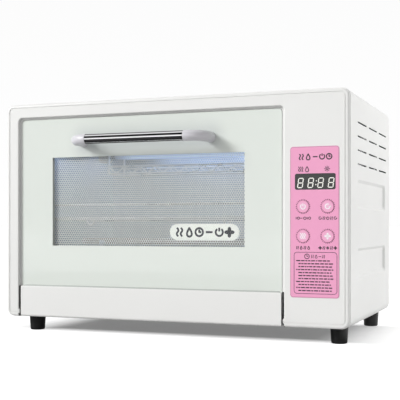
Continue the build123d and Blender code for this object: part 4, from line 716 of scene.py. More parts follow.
class StudioSettings(bpy.types.PropertyGroup):
    """Camera, lamps and floor."""
    lens: number_setting("Lens", "Focal length", 81.63, 1.0, unit="CAMERA")
    rise: number_setting("Rise", "Upward shift of the lens", 0.0635, -1.0)
    turn: angle_setting("Turn", "Heading of the camera", 21.06)
    stand: bpy.props.FloatVectorProperty(
        name="Stand", description="Place of the camera", subtype="TRANSLATION", unit="LENGTH",
        size=3, default=(0.3875, -1.00935, 0.1222))
    sky: number_setting("Sky", "Strength of the even light", 0.45)
    key_power: number_setting("Key lamp", "Power of the large lamp", 1205.0, unit="POWER")
    fill_power: number_setting("Fill lamp", "Power of the side lamp", 25.5, unit="POWER")
    backdrop: share_setting("Backdrop", "Tone of the background above the cabinet", 0.973)
    floor: colour_setting("Floor", "Bench top", (0.62, 0.62, 0.62))
    floor_shade: colour_setting("Floor shade", "Colour that the bench top drifts to",
                                (0.58, 0.58, 0.58))
    shadow_fill: number_setting("Shadow fill", "Brightness added under the cabinet", 0.2)
    shadow_reach: length_setting("Shadow reach", "Width of the shadow's front edge", 28 * MM)
    shadow_side: length_setting("Shadow side", "Width of the shadow's side edges", 130 * MM)
    flag: colour_setting("Flag", "Dark cloth that polished metal reflects",
                         (0.012, 0.012, 0.013))
    flag_low: angle_setting("Flag low", "Lower edge of the flag", 18.0)
    flag_high: angle_setting("Flag high", "Upper edge of the flag", 67.0)
    card: number_setting("White card", "Brightness that surfaces reflect from just above the "
                         "horizon", 1.4)


SETTINGS = (("case", CaseFinish), ("door", DoorFinish), ("panel", PanelFinish),
            ("chamber", ChamberFinish), ("studio", StudioSettings))


class SteriliserSettings(bpy.types.PropertyGroup):
    """All settings of the cabinet, group by group."""
    case: bpy.props.PointerProperty(type=CaseFinish, name="Case")
    door: bpy.props.PointerProperty(type=DoorFinish, name="Door")
    panel: bpy.props.PointerProperty(type=PanelFinish, name="Panel")
    chamber: bpy.props.PointerProperty(type=ChamberFinish, name="Chamber")
    studio: bpy.props.PointerProperty(type=StudioSettings, name="Studio")


# ---- Operators ----------------------------------------------------------------------------------
class STERILISER_OT_case(bpy.types.Operator):
    """Coats the folded sheets, the front frame and the door strip"""
    bl_idname = "steriliser.case"
    bl_label = "Case"

    def execute(self, context):
        look = context.scene.steriliser.case
        finish_nodes(skin("White Powder Coat", look.paint, look.paint_shade, inside=look.bare_and_shade),
                     "outer_wrap", "base_plate", "rear_panel")
        finish_nodes(skin("White Moulded Plastic", look.moulding, look.paint_shade),
                     "door_strip", "board_standoffs")
        finish_nodes(skin("White Front Moulding With Painted Recess Shade", look.moulding, look.paint_shade,
                          recess=(look.wall_shade, look.pocket_shade)),
                     "front_frame", "hinge_bush_left", "hinge_bush_right")
        return {"FINISHED"}


# Air outlets: place across, height above the lower edge of the case, and reach to each side
OUTLET_MIDDLE = 135 * MM
OUTLET_HEIGHT = 190 * MM
OUTLET_REACH = (55 * MM, 28 * MM)
GAUZE_PITCH = 1.6 * MM
GAUZE_OPENING = 0.62
GAUZE_THICKNESS = 0.3 * MM
GAUZE_GAP = 0.3 * MM


class STERILISER_OT_outlet_gauze(bpy.types.Operator):
    """Fits a black gauze inside the air outlets of the rear panel, a dark sheet that paints shade
    in them
    """
    bl_idname = "steriliser.outlet_gauze"
    bl_label = "Outlet gauze"

    def execute(self, context):
        gauze = perforated(about(OUTLET_MIDDLE, OUTLET_REACH[0]),
                           about(CASE_Z[0] + OUTLET_HEIGHT, OUTLET_REACH[1]), GAUZE_PITCH,
                           GAUZE_OPENING)
        # painted shade: a black gauze put behind the outlets so they read dark
        printed("outlet_gauze", [gauze], span("rear_panel", 1)[0] - GAUZE_GAP, "root",
                "black_plastic", skin("Black Gauze Painted Slot Shade", (0.02, 0.02, 0.021)), GAUZE_THICKNESS)
        return {"FINISHED"}


class STERILISER_OT_feet(bpy.types.Operator):
    """Gives the four feet a moulded rubber finish"""
    bl_idname = "steriliser.feet"
    bl_label = "Feet"

    def execute(self, context):
        look = context.scene.steriliser.case
        finish_nodes(skin("Black Foot Rubber", look.rubber, Specular_IOR_Level=0.35),
                     "foot_front_left", "foot_front_right", "foot_rear_left",
                     "foot_rear_right")
        return {"FINISHED"}


# Painted shade on the glass behind the handle, standing in for its shadow and mirror image: its
# core, its reach and how it falls off
SHADE_X = inset((span("handle_arm_left", 0)[0], span("handle_arm_right", 0)[1]), 6 * MM)
SHADE_Z = about(centre("handle_bar")[2] - 1.5 * MM, 4 * MM)
SHADE_REACH = 24 * MM
SHADE_FALL = 1.6
SHADE_SHARE = 0.65
# Share of light that the glass sends back where it is seen edge on, and how fast that fades
SHEEN_SHARE = 0.9
SHEEN_FALL = 5.0


class STERILISER_OT_door_glass(bpy.types.Operator):
    """Paints the back of the door glass and leaves its window clear"""
    bl_idname = "steriliser.door_glass"
    bl_label = "Door glass"

    def execute(self, context):
        look = context.scene.steriliser.door
        material, w, surface = new_finish("Back Painted Glass")
        paint = w.group("tone", Colour=rgba(look.back_paint),
                        Second_Colour=(0.70, 0.75, 0.70, 1), Scale=5.0, Amount=0.25)[0]
        # painted shade: the paint darkens close behind the handle for its shadow and mirror image
        behind = w.group("reach", **rectangle(SHADE_X, SHADE_Z))[0]
        near = w.math("POWER", w.ramp(behind, 0.0, SHADE_REACH, 1.0, 0.0), SHADE_FALL)
        w.put(surface, "Base Color", w.mix(w.times(near, SHADE_SHARE), paint,
                                           rgba(look.handle_shade)))
        w.put(surface, "Roughness", w.group("handling", Roughness=0.06, Spread=0.03)[0])
        window = w.group("field", **rectangle(WINDOW_X, WINDOW_Z))[0]
        turned = w.add("ShaderNodeLayerWeight", {"Blend": 0.5}).outputs["Facing"]
        sheen = w.times(w.math("POWER", turned, SHEEN_FALL), SHEEN_SHARE)
        veil = w.math("ADD", look.haze, sheen)
        clear = w.times(window, w.math("SUBTRACT", 1.0, veil))
        w.put(surface, "Alpha", w.math("SUBTRACT", 1.0, clear))
        finish_nodes(material, "door_glass")
        return {"FINISHED"}


class STERILISER_OT_strip_bead(bpy.types.Operator):
    """Runs a sealing bead along the corner between the door glass and the door strip: a painted
    shade line
    """
    bl_idname = "steriliser.strip_bead"
    bl_label = "Strip bead"

    def execute(self, context):
        look = context.scene.steriliser.door
        points, faces = bead(inset(STRIP_X, 1.5 * MM), GLASS_FRONT, STRIP_TOP,
                             look.bead_radius)
        new_piece("strip_bead", points, faces, "door", "seal_silicone",
                  skin("Grey Sealing Bead And Painted Shade Line", look.bead))
        return {"FINISHED"}


def bead(x, y, z, radius, steps=7, stations=60):
    """Quarter-round bead in the corner of an upright face at y and a level face at z.

    Its section is a quarter circle of the given radius round the corner, closed by a point
    just inside the corner. The radius at a station falls off over the last two radii of each
    end, as the root of 1 - s squared, where s is how far along that stretch it is, and quads
    across the section close both ends.
    """
    turn = np.radians(np.linspace(0, 90, steps))
    section = np.concatenate([np.stack([-np.cos(turn), np.sin(turn)], 1), [[0.1, -0.1]]])
    along = np.sin(np.linspace(-np.pi / 2, np.pi / 2, stations)) * (x[1] - x[0]) / 2
    from_end = (x[1] - x[0]) / 2 - np.abs(along)
    s = np.clip(1 - from_end / (2 * radius), 0, 1)
    size = radius * np.maximum(np.sqrt(1 - s ** 2), 0.15)
    points = np.empty((stations, steps + 1, 3))
    points[:, :, 0] = ((x[0] + x[1]) / 2 + along)[:, None]
    points[:, :, 1:] = np.array([y, z]) + size[:, None, None] * section
    k = np.arange((steps + 1) // 2 - 1)
    cap = np.stack([k, k + 1, steps - 1 - k, steps - k], 1)
    sides = grid_faces(stations, steps + 1, columns_wrap=True)[:, ::-1]
    faces = np.concatenate([sides, cap, cap[:, ::-1] + (stations - 1) * (steps + 1)])
    return points.reshape(-1, 3), faces


# Plain badge in the window's lower right corner
BADGE_X = (WINDOW_X[1] - 86.8 * MM, WINDOW_X[1] - 6.9 * MM)
BADGE_Z = (WINDOW_Z[0] + 7.0 * MM, WINDOW_Z[0] + 24.5 * MM)
BADGE_RADIUS = (BADGE_Z[1] - BADGE_Z[0]) / 2 - 0.1 * MM
BADGE_DEPTH = 0.06 * MM
BADGE_MARK_DEPTH = 0.03 * MM


class STERILISER_OT_window_print(bpy.types.Operator):
    """Lays the perforated print and the plain badge behind the window"""
    bl_idname = "steriliser.window_print"
    bl_label = "Window print"

    def execute(self, context):
        look = context.scene.steriliser.door
        depth = span("window_screen", 1)
        lattice, faces = perforated(WINDOW_X, WINDOW_Z, look.print_pitch, look.print_open)
        rim, rim_faces = frame_ring(SCREEN_X, SCREEN_Z, WINDOW_X, WINDOW_Z)
        piece = new_piece("window_print", *joined([(upright(lattice, sum(depth) / 2), faces),
                                                   (upright(rim, depth[1]), rim_faces)]),
                          "door", "window_print", ink("Perforated Print", look.print_colour))
        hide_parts("window_screen")

        front = depth[0] + BADGE_DEPTH
        printed("window_badge", [field(BADGE_X, BADGE_Z, BADGE_RADIUS, 14)], front, "door",
                "window_print", ink("Badge Print", look.badge))
        printed("window_badge_marks",
                icon_row("waves drop clock dash power sparkle", inset(BADGE_X, 6.5 * MM),
                         (BADGE_Z[0] + BADGE_Z[1]) / 2, 9.6 * MM, 2.2 * MM),
                front - BADGE_MARK_DEPTH, "door", "window_print",
                ink("Badge Ink", look.badge_ink))
        return {"FINISHED"}


def perforated(x, z, pitch, opening):
    """Sheet of six-sided cells, each with a hole of its own shape in the middle.

    Cell centres lie on rows set a pitch times the root of three quarters apart, every second
    row shifted by half a pitch. A cell's corners are at its circumradius, the pitch over the
    root of three, and its hole's corners are the same directions times the opening share.
    """
    rise = pitch * np.sqrt(0.75)
    columns = int(np.ceil((x[1] - x[0]) / pitch)) + 2
    rows = int(np.ceil((z[1] - z[0]) / rise)) + 2
    j, i = np.meshgrid(np.arange(rows), np.arange(columns), indexing="ij")
    centre_x = x[0] - pitch / 2 + (i + (j % 2) / 2) * pitch
    centre_z = z[0] - rise / 2 + j * rise
    turn = np.radians(30 + 60 * np.arange(6))
    corner = np.stack([np.cos(turn), np.sin(turn)], 1) * pitch / np.sqrt(3)
    cell = np.concatenate([corner, corner * opening])
    middle = np.stack([centre_x.ravel(), centre_z.ravel()], 1)
    points = (middle[:, None, :] + cell[None, :, :]).reshape(-1, 2)
    k = np.arange(6)
    quads = np.stack([k, (k + 1) % 6, (k + 1) % 6 + 6, k + 6], 1)
    faces = (quads[None] + 12 * np.arange(len(middle))[:, None, None]).reshape(-1, 4)
    _, first, merged = np.unique(np.round(points, 7), axis=0, return_index=True,
                                 return_inverse=True)
    return points[first], merged.ravel()[faces]


def frame_ring(outer_x, outer_z, inner_x, inner_z):
    """Flat frame between two rectangles: four corners of each, joined by four quads."""
    corners = [np.array([[x[0], z[0]], [x[1], z[0]], [x[1], z[1]], [x[0], z[1]]])
               for x, z in ((outer_x, outer_z), (inner_x, inner_z))]
    return np.concatenate(corners), grid_faces(2, 4, columns_wrap=True)


class STERILISER_OT_handle(bpy.types.Operator):
    """Chromes the handle bar and finishes its moulded arms"""
    bl_idname = "steriliser.handle"
    bl_label = "Handle"

    def execute(self, context):
        look = context.scene.steriliser.door
        finish_nodes(metal("Polished Chrome", look.chrome, look.chrome_rim_shade), "handle_bar")
        finish_nodes(skin("Pale Arm Plastic", look.arm), "handle_arm_left",
                     "handle_arm_right")
        return {"FINISHED"}


# Share of the ink's lift that its closed body fills, so that it stays clear of its surface
INK_BODY = 0.8
# Captions under the keys: pictograms of each, their size, distance and drop below the key
CAPTIONS = {"upper_left": "bar_ring dash power bar_ring",
            "upper_right": "loop waves power waves loop",
            "lower_left": "waves drop waves drop",
            "lower_right": "sparkle waves rays waves sparkle"}
CAPTION_SIZE = 3.2 * MM
CAPTION_STEP = 3.9 * MM
CAPTION_DROP = 11.9 * MM
CAPTION_STROKE = 0.72 * MM
# Rows of pictograms in millimetres: left and right end from the panel's left edge, height
# above the lower edge of the case, size and stroke
ROWS = (("waves drop dash power clock", 8.6, 43.6, 174.9, 6.1, 1.25),
        ("heat drop", 8.4, 20.4, 162.4, 5.4, 0.85),
        ("rays", 35.6, 41.4, 162.4, 5.8, 0.8))
CHART_Z = (CASE_Z[0] + 35.4 * MM, CASE_Z[0] + 77.6 * MM)
CHART_TITLE_Z = CASE_Z[0] + 73.4 * MM
BORDER_INSET = 0.45 * MM


def across(low, high):
    """Left and right ends from distances in from the panel's left edge, in millimetres."""
    return PANEL_X[0] + low * MM, PANEL_X[0] + high * MM


CHART_X = across(4.1, 48.6)


class STERILISER_OT_control_panel(bpy.types.Operator):
    """Prints the control overlay with pictograms, tick rings and a plain chart"""
    bl_idname = "steriliser.control_panel"
    bl_label = "Control panel"

    def execute(self, context):
        look = context.scene.steriliser.panel
        finish_nodes(skin("Pink Overlay Film", look.overlay, look.overlay_shade),
                     "control_overlay")
        marks = []
        for icons, left, right, height, size, width in ROWS:
            marks += icon_row(icons, across(left, right), CASE_Z[0] + height * MM, size * MM,
                              width * MM)
        for key, icons in CAPTIONS.items():
            x, _, z = centre("key_" + key)
            wide = CAPTION_SIZE + CAPTION_STEP * (len(icons.split()) - 1)
            marks += icon_row(icons, about(x, wide / 2), z - CAPTION_DROP, CAPTION_SIZE,
                              CAPTION_STROKE)
        marks.append(ribbon(outline(CHART_X, CHART_Z, 3 * MM), 0.5 * MM, True))
        marks += drawn("clock", CHART_X[0] + 13.5 * MM, CHART_TITLE_Z, 5.4 * MM, 0.75 * MM)
        marks += icon_row("waves drop dash waves",
                          (CHART_X[0] + 17.5 * MM, CHART_X[0] + 32.5 * MM), CHART_TITLE_Z,
                          3.4 * MM, 0.62 * MM)
        marks += chart_lines(CHART_X, CASE_Z[0])
        # painted shade: a dark line round the film stands in for the shade at its edge
        border_shade_line = outline(inset(PANEL_X, BORDER_INSET), inset(PANEL_Z, BORDER_INSET), 2.4 * MM)
        ticks = [tick_ring(centre("key_" + key)) for key in KEYS]
        for name, shapes, finish in (
                ("panel_marks", marks, ink("Dark Panel Ink", look.ink)),
                ("panel_edge_shade_line", [ribbon(border_shade_line, 0.5 * MM, True)],
                 ink("Painted Edge Shade Line", look.border_shade_line)),
                ("key_ticks", ticks, ink("Tick Ink", look.tick))):
            printed(name, shapes, PANEL_FRONT - look.ink_lift, "root", "panel_print", finish,
                    look.ink_lift * INK_BODY)
        return {"FINISHED"}


def chart_lines(x, base):
    """Rows of short level strokes of mixed lengths, like the rows of a plain chart."""
    random = np.random.default_rng(7)
    strokes = []
    heights = base + np.linspace(69.0, 38.5, 11) * MM
    for row, z in enumerate(heights):
        left = x[0] + (2.2 if row in (0, 3, 7, 9) else 4.6) * MM
        right = x[1] - random.uniform(2.5, 7.5) * MM
        while left < right - 1.5 * MM:
            end = min(left + random.uniform(1.4, 4.6) * MM, right)
            strokes.append(ribbon(segment(left, z, end, z), 1.2 * MM))
            left = end + 0.75 * MM
    return strokes


def tick_ring(middle, inner=5.9 * MM, outer=7.6 * MM, count=24, width=0.85 * MM):
    """Short radial bars round a key: each is a rectangle turned by its share of the circle."""
    turn = 2 * np.pi * np.arange(count) / count
    along = np.array([inner, outer, outer, inner])
    side = np.array([-width, -width, width, width]) / 2
    x = middle[0] + np.cos(turn)[:, None] * along - np.sin(turn)[:, None] * side
    z = middle[2] + np.sin(turn)[:, None] * along + np.cos(turn)[:, None] * side
    points = np.stack([x, z], 2).reshape(-1, 2)
    return points, np.arange(4 * count).reshape(-1, 4)


# Radii between which a key's pale middle fades, and the size and stroke of its pictogram
KEY_FADE = (0.6 * MM, 5.8 * MM)
KEY_ICON_SIZE = 6.0 * MM
KEY_ICON_STROKE = 0.85 * MM


class STERILISER_OT_keys(bpy.types.Operator):
    """Finishes the four keys with pale middles and a raised pictogram each"""
    bl_idname = "steriliser.keys"
    bl_label = "Keys"

    def execute(self, context):
        look = context.scene.steriliser.panel
        white = ink("Key Ink", look.key_ink, 0.4)
        for key, icon in zip(KEYS, ("power", "loop", "heat", "sparkle")):
            node = "key_" + key
            x, _, z = middle = centre(node)
            material, w, surface = new_finish("Key Cap " + key.replace("_", " ").title())
            tone = w.group("tone", Colour=rgba(look.overlay),
                           Second_Colour=rgba(look.overlay_shade), Scale=60.0)[0]
            fade = w.group("fade", Centre=middle, Inner=KEY_FADE[0], Outer=KEY_FADE[1])[0]
            w.put(surface, "Base Color", w.mix(fade, tone, rgba(look.key_light)))
            w.put(surface, "Roughness", w.group("handling", Roughness=0.33, Scale=120.0)[0])
            bump(w, surface, w.group("peel", Scale=2000.0)[0], 8e-6)
            finish_nodes(material, node)
            printed(node + "_mark", drawn(icon, x, z, KEY_ICON_SIZE, KEY_ICON_STROKE),
                    span(node, 1)[0] - look.ink_lift, node, "panel_print", white,
                    look.ink_lift * INK_BODY)
        return {"FINISHED"}


# Left edges of the digits in millimetres from the lens's, their size, lean and dots
DIGIT_LEFTS = (2.8, 13.5, 23.8, 34.6)
DIGIT_WIDE = 4.9 * MM
DIGIT_HIGH = 9.5 * MM
DIGIT_FOOT = 2.2 * MM
COLON_LEFT = 21.6 * MM
COLON_LEVELS = (0.3, 0.7)
SLANT = 0.14
DOT = np.array([-0.62, 0.62]) * MM
DOT_RADIUS = 0.6 * MM


class STERILISER_OT_display(bpy.types.Operator):
    """Tints the display lens and lays four lit digits and a colon on it"""
    bl_idname = "steriliser.display"
    bl_label = "Display"

    def execute(self, context):
        look = context.scene.steriliser.panel
        finish_nodes(skin("Tinted Lens", look.lens), "display_lens")
        left = span("display_lens", 0)[0]
        bottom = span("display_lens", 2)[0] + DIGIT_FOOT
        shapes = [digit(left + place * MM, bottom, DIGIT_WIDE, DIGIT_HIGH)
                  for place in DIGIT_LEFTS]
        for level in COLON_LEVELS:
            rise = level * DIGIT_HIGH
            shapes.append(field(left + COLON_LEFT + SLANT * rise + DOT, bottom + rise + DOT,
                                DOT_RADIUS, 5))
        printed("display_digits", shapes, span("display_lens", 1)[0] - look.ink_lift, "root",
                "display_tint", ink("Lit Segments", look.digit, 0.4, 0.12),
                look.ink_lift * INK_BODY)
        return {"FINISHED"}


def digit(left, bottom, wide, high, thick=0.92 * MM, gap=0.14 * MM):
    """All seven bars of a digit, leaning to the right by the slant times the height.

    A bar is a flat hexagon: two long sides a thickness apart and a point at each end. It is
    turned upright or left level, moved to its place and sheared.
    """
    half = high / 2
    bars = np.array([
        [wide / 2, 0, wide, 0], [wide / 2, half, wide, 0], [wide / 2, high, wide, 0],
        [0, half / 2, half, 1], [wide, half / 2, half, 1],
        [0, 1.5 * half, half, 1], [wide, 1.5 * half, half, 1]])
    length = bars[:, 2, None] / 2 - gap
    edge = length - thick / 2
    u = np.concatenate([-length, -edge, edge, length, edge, -edge], 1)
    v = np.broadcast_to(np.array([0, -1, -1, 0, 1, 1]) * thick / 2, u.shape)
    standing = bars[:, 3, None] > 0
    x = bars[:, 0, None] + np.where(standing, -v, u)
    z = bars[:, 1, None] + np.where(standing, u, v)
    points = np.stack([left + x + SLANT * z, bottom + z], 2).reshape(-1, 2)
    k = 6 * np.arange(len(bars))[:, None, None]
    return points, (np.array([[0, 1, 4, 5], [1, 2, 3, 4]])[None] + k).reshape(-1, 4)


class STERILISER_OT_chamber(bpy.types.Operator):
    """Finishes the steel chamber, the door's inner frame and the seal"""
    bl_idname = "steriliser.chamber"
    bl_label = "Chamber"

    def execute(self, context):
        look = context.scene.steriliser.chamber
        # partly painted light: the chamber steel is tinted blue for the lamp's light on it
        finish_nodes(metal("Satin Chamber Steel With Painted Lamp Light", look.steel), "chamber_base", "chamber_roof",
                     "chamber_back", "chamber_left_wall", "chamber_fan_wall", "chamber_mouth",
                     "rack_guide_left", "rack_guide_right", "door_inner_frame", "heater_clips")
        finish_nodes(metal("Bright Aluminium", (0.82, 0.83, 0.84)), "lamp_reflector",
                     "lamp_ballast")
        finish_nodes(skin("Seal Silicone", (0.62, 0.62, 0.60)), "door_seal")
        return {"FINISHED"}


class STERILISER_OT_rack(bpy.types.Operator):
    """Chromes the wire rack and the lamp guard"""
    bl_idname = "steriliser.rack"
    bl_label = "Rack and guard"

    def execute(self, context):
        look = context.scene.steriliser.chamber
        finish_nodes(metal("Chromed Wire", look.wire), "wire_rack")
        finish_nodes(metal("Bright Guard Wire", (0.86, 0.88, 0.90)), "lamp_guard")
        return {"FINISHED"}


# Length of the tube's pins and cap at each end, of the dimmer stretch of glass behind them, and
# the share of its light that this stretch starts with
TUBE_END = (6 + 12) * MM
TUBE_DIM = 25 * MM
TUBE_DIM_SHARE = 0.15


class STERILISER_OT_lamp(bpy.types.Operator):
    """Lights the ultraviolet lamp and finishes its holders"""
    bl_idname = "steriliser.lamp"
    bl_label = "Lamp"

    def execute(self, context):
        look = context.scene.steriliser.chamber
        material, w, surface = new_finish("Lamp Tube")
        low, high = span("uv_lamp", 0)
        along = w.axes(w.place())["X"]
        from_end = w.math("MINIMUM", w.math("SUBTRACT", along, low),
                          w.math("SUBTRACT", high, along))
        glass = w.math("GREATER_THAN", from_end, TUBE_END)
        dim = w.times(glass, w.ramp(from_end, TUBE_END, TUBE_END + TUBE_DIM, TUBE_DIM_SHARE,
                                     1.0))
        w.put(surface, "Base Color", w.mix(glass, (0.7, 0.7, 0.72, 1), (0.75, 0.8, 0.86, 1)))
        w.put(surface, "Metallic", w.math("SUBTRACT", 1.0, glass))
        w.put(surface, "Roughness", w.group("handling", Roughness=0.2, Scale=40.0)[0])
        w.put(surface, "Emission Color", w.mix(dim, BLACK, rgba(look.glow)))
        eye = w.add("ShaderNodeLightPath").outputs["Is Camera Ray"]
        w.put(surface, "Emission Strength", w.ramp(eye, 0.0, 1.0, look.glow_strength,
                                                   look.glow_seen))
        finish_nodes(material, "uv_lamp")
        finish_nodes(skin("Holder Ceramic", look.ceramic), "lamp_holder_left",
                     "lamp_holder_right", "thermal_cutout")
        return {"FINISHED"}


class STERILISER_OT_heater(bpy.types.Operator):
    """Gives the heating tube its tarnished drawn sheath"""
    bl_idname = "steriliser.heater"
    bl_label = "Heater"

    def execute(self, context):
        look = context.scene.steriliser.chamber
        finish_nodes(metal("Heater Sheath", look.sheath), "heater_tube")
        return {"FINISHED"}


class STERILISER_OT_electrics(bpy.types.Operator):
    """Finishes the fan, the boards and the other electrical pieces"""
    bl_idname = "steriliser.electrics"
    bl_label = "Electrics"

    def execute(self, context):
        finish_nodes(skin("Black Moulded Plastic", (0.028, 0.028, 0.03)), "fan_housing",
                     "fan_rotor", "display_module", "key_switches", "door_switch",
                     "cord_gland", "gland_nut")
        finish_nodes(skin("Board Laminate", (0.02, 0.16, 0.07)), "control_board",
                     "power_board")
        finish_nodes(skin("Dark Magnet", (0.06, 0.055, 0.055)), "door_magnet",
                     "catch_magnets")
        return {"FINISHED"}


class STERILISER_OT_fasteners(bpy.types.Operator):
    """Finishes screws and hinge pins in bright steel"""
    bl_idname = "steriliser.fasteners"
    bl_label = "Fasteners"

    def execute(self, context):
        finish_nodes(metal("Bright Fastener Steel", (0.70, 0.70, 0.70)), "case_screws",
                     "foot_screws", "handle_screws", "board_screws", "hinge_pins")
        return {"FINISHED"}


# Places and sizes of the lamps
KEY_PLACE = (-8.1, -7.1, 5.1)
KEY_SIZE = 3.8
FILL_PLACE = (1.75, 1.0, 1.2)
FILL_SIZE = 1.1


class STERILISER_OT_stage(bpy.types.Operator):
    """Sets the floor, the even light, the lamps and the camera"""
    bl_idname = "steriliser.stage"
    bl_label = "Stage"

    def execute(self, context):
        look = context.scene.steriliser.studio
        floor_of_stage(look)
        even_light(context.scene, look)
        soft_lamp("key_lamp", KEY_PLACE, KEY_SIZE, look.key_power)
        soft_lamp("fill_lamp", FILL_PLACE, FILL_SIZE, look.fill_power, reflected=False)
        lens = bpy.data.cameras.new("camera")
        lens.lens = look.lens
        lens.shift_y = look.rise
        lens.sensor_width = 36.0
        camera = placed("camera", lens)
        camera.location = look.stand
        camera.rotation_euler = (np.pi / 2, 0.0, look.turn)
        context.scene.camera = camera
        context.scene.view_settings.view_transform = "Standard"
        return {"FINISHED"}


def shown_rays(w, path):
    """Mask of the rays that show a surface: straight, mirrored or through glass."""
    return w.math("MAXIMUM", path["Is Camera Ray"],
                  w.math("MAXIMUM", path["Is Glossy Ray"], path["Is Transmission Ray"]))


FLOOR_RINGS = 24
FLOOR_TURNS = 64
FLOOR_RADIUS = 40.0
# The cabinet's painted shadow on the floor starts this far inside its sides, and FAR leaves an
# axis out of a reach
SHADOW_INSET = 50 * MM
FAR = 100.0
# Dark cloth on the floor that polished metal reflects, and the width of its soft edge
CLOTH_CENTRE = (-0.35, -0.66, 0.0)
CLOTH_HALF = (0.55, 0.60, 1.0)
CLOTH_EDGE = 0.06
# Glow of the open floor, and the inner share of the painted shadow's width that is darkened
FLOOR_GLOW = 0.75
SHADOW_CORE = 0.4
SHADOW_DARK = 0.55


def floor_of_stage(look):
    """Round floor: rings of points whose radius grows with the square of the ring's number."""
    radius = (np.linspace(0.02, 1.0, FLOOR_RINGS) ** 2 * FLOOR_RADIUS)[:, None]
    turn = np.linspace(0, 2 * np.pi, FLOOR_TURNS, endpoint=False)[None, :]
    points = np.stack([radius * np.cos(turn), radius * np.sin(turn), 0 * radius * turn], 2)
    mesh = bpy.data.meshes.new("floor")
    rings = grid_faces(FLOOR_RINGS, FLOOR_TURNS, columns_wrap=True)[:, ::-1]
    mesh.from_pydata(points.reshape(-1, 3).tolist(), [],
                     rings.tolist() + [list(range(FLOOR_TURNS))])
    mesh.update()
    floor = placed("floor", mesh)
    material, w, surface = new_finish("Studio Floor")
    tone = w.group("tone", Colour=rgba(look.floor), Second_Colour=rgba(look.floor_shade),
                   Scale=3.0, Amount=0.2)[0]
    path = w.add("ShaderNodeLightPath").outputs
    beside, before = (
        w.group("reach", Centre=CASE_MIDDLE, Half_Size=half)[0]
        for half in ((CASE_HALF[0] - SHADOW_INSET, FAR, FAR),
                     (FAR, CASE_HALF[1] - SHADOW_INSET, FAR)))
    # painted shadow: the floor's glow and colour are cut back under and beside the cabinet
    away = w.math("MAXIMUM", w.ramp(beside, 0.0, look.shadow_side),
                  w.ramp(before, 0.0, look.shadow_reach))
    white = w.ramp(away, 0.0, 1.0, look.shadow_fill, FLOOR_GLOW)
    tone = w.mix(w.ramp(away, 0.0, SHADOW_CORE, SHADOW_DARK, 0.0), tone, BLACK)
    cloth = w.group("reach", Centre=CLOTH_CENTRE, Half_Size=CLOTH_HALF)[0]
    flag = w.times(w.ramp(cloth, 0.0, CLOTH_EDGE, 1.0, 0.0), path["Is Glossy Ray"])
    w.put(surface, "Base Color", w.mix(flag, tone, rgba(look.flag)))
    w.put(surface, "Roughness", 0.6)
    w.put(surface, "Specular IOR Level", 0.1)
    w.put(surface, "Emission Color", w.mix(flag, WHITE, BLACK))
    w.put(surface, "Emission Strength", w.times(shown_rays(w, path), white))
    mesh.materials.append(material)


# Z of a direction between which the background falls to its tone, and between which the white
# card begins and ends, and the X between which the card fades in
BACKDROP_FALL = (0.03, 0.24)
CARD_FOOT = (0.025, 0.06)
CARD_HEAD = (0.2, 0.3)
CARD_SIDE = (-0.05, 0.1)
# The flag's height over the width of its soft edge
FLAG_EDGE = 12


def even_light(scene, look):
    """World that gives an even light and shows a pale background with a dark flag in it.

    The background falls from white at the horizon to the given tone higher up, and surfaces
    reflect a brighter card on the right, from just above the horizon up to a low height. The
    flag is a level band between two heights in front of the cabinet, and only reflections
    show it: height is the angle whose tangent is Z over the distance to the front.
    """
    world = bpy.data.worlds.new("studio")
    scene.world = world
    world.use_nodes = True
    world.node_tree.nodes.clear()
    w = Wiring(world.node_tree)
    path = w.add("ShaderNodeLightPath").outputs
    way = w.axes(w.add("ShaderNodeTexCoord").outputs["Generated"])
    height = w.math("ARCTAN2", way["Z"], w.times(way["Y"], -1.0))
    low, high = look.flag_low, look.flag_high
    soft = (high - low) / FLAG_EDGE
    band = w.times(w.ramp(height, low - soft, low + soft),
                   w.ramp(height, high - soft, high + soft, 1.0, 0.0))
    flag = w.times(band, path["Is Glossy Ray"])
    side = w.times(path["Is Glossy Ray"], w.ramp(way["X"], *CARD_SIDE))
    card = w.times(side, w.times(w.ramp(way["Z"], *CARD_FOOT, 0.0, look.card - 1.0),
                                 w.ramp(way["Z"], *CARD_HEAD, 1.0, 0.0)))
    light = w.add("ShaderNodeBackground", {"Color": WHITE, "Strength": look.sky})
    shown = w.add("ShaderNodeBackground", {
        "Color": w.mix(flag, WHITE, rgba(look.flag)),
        "Strength": w.math("ADD", w.ramp(way["Z"], *BACKDROP_FALL, 1.0, look.backdrop), card)})
    both = w.add("ShaderNodeMixShader", {0: shown_rays(w, path), 1: light.outputs[0],
                                         2: shown.outputs[0]})
    w.add("ShaderNodeOutputWorld", {0: both.outputs[0]})


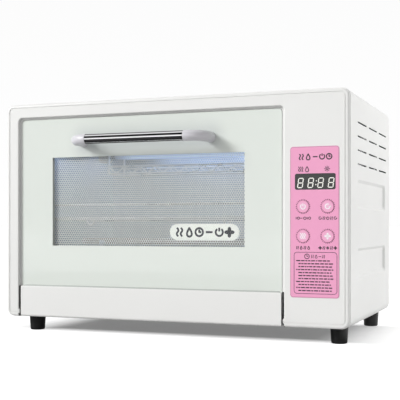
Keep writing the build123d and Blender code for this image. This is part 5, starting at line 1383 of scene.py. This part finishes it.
def soft_lamp(name, place, size, power, reflected=True):
    """Square area lamp that faces the middle of the cabinet, seen in its sheen or not."""
    light = bpy.data.lights.new(name, "AREA")
    light.shape = "SQUARE"
    light.size = size
    light.energy = power
    lamp = placed(name, light)
    lamp.location = place
    towards = BOX_MIDDLE - lamp.location
    lamp.rotation_euler = towards.to_track_quat("-Z", "Y").to_euler()
    lamp.visible_glossy = reflected


STEPS = (
    STERILISER_OT_case, STERILISER_OT_outlet_gauze, STERILISER_OT_feet,
    STERILISER_OT_door_glass, STERILISER_OT_strip_bead,
    STERILISER_OT_window_print, STERILISER_OT_handle, STERILISER_OT_control_panel,
    STERILISER_OT_keys, STERILISER_OT_display, STERILISER_OT_chamber, STERILISER_OT_rack,
    STERILISER_OT_lamp, STERILISER_OT_heater, STERILISER_OT_electrics,
    STERILISER_OT_fasteners, STERILISER_OT_stage,
)


class STERILISER_PT_sidebar(bpy.types.Panel):
    """Lists the steps and the settings"""
    bl_idname = "STERILISER_PT_sidebar"
    bl_label = "Steriliser Cabinet"
    bl_space_type = "VIEW_3D"
    bl_region_type = "UI"
    bl_category = "Steriliser"

    def draw(self, context):
        for step in STEPS:
            self.layout.operator(step.bl_idname)
        for name, group in SETTINGS:
            box = self.layout.box()
            box.label(text=name.title())
            for label in group.__annotations__:
                box.prop(getattr(context.scene.steriliser, name), label)


CLASSES = tuple(group for _, group in SETTINGS) + (SteriliserSettings,) + STEPS + (
    STERILISER_PT_sidebar,)


def register():
    """Registers the settings, the steps and the panel."""
    for item in CLASSES:
        bpy.utils.register_class(item)
    bpy.types.Scene.steriliser = bpy.props.PointerProperty(type=SteriliserSettings)


def unregister():
    """Takes them away again."""
    del bpy.types.Scene.steriliser
    for item in reversed(CLASSES):
        bpy.utils.unregister_class(item)


def main():
    """Builds the whole cabinet's looks."""
    register()
    make_effects()
    for step in STEPS:
        group, name = step.bl_idname.split(".")
        getattr(getattr(bpy.ops, group), name)()


if __name__ == "__main__":
    main()
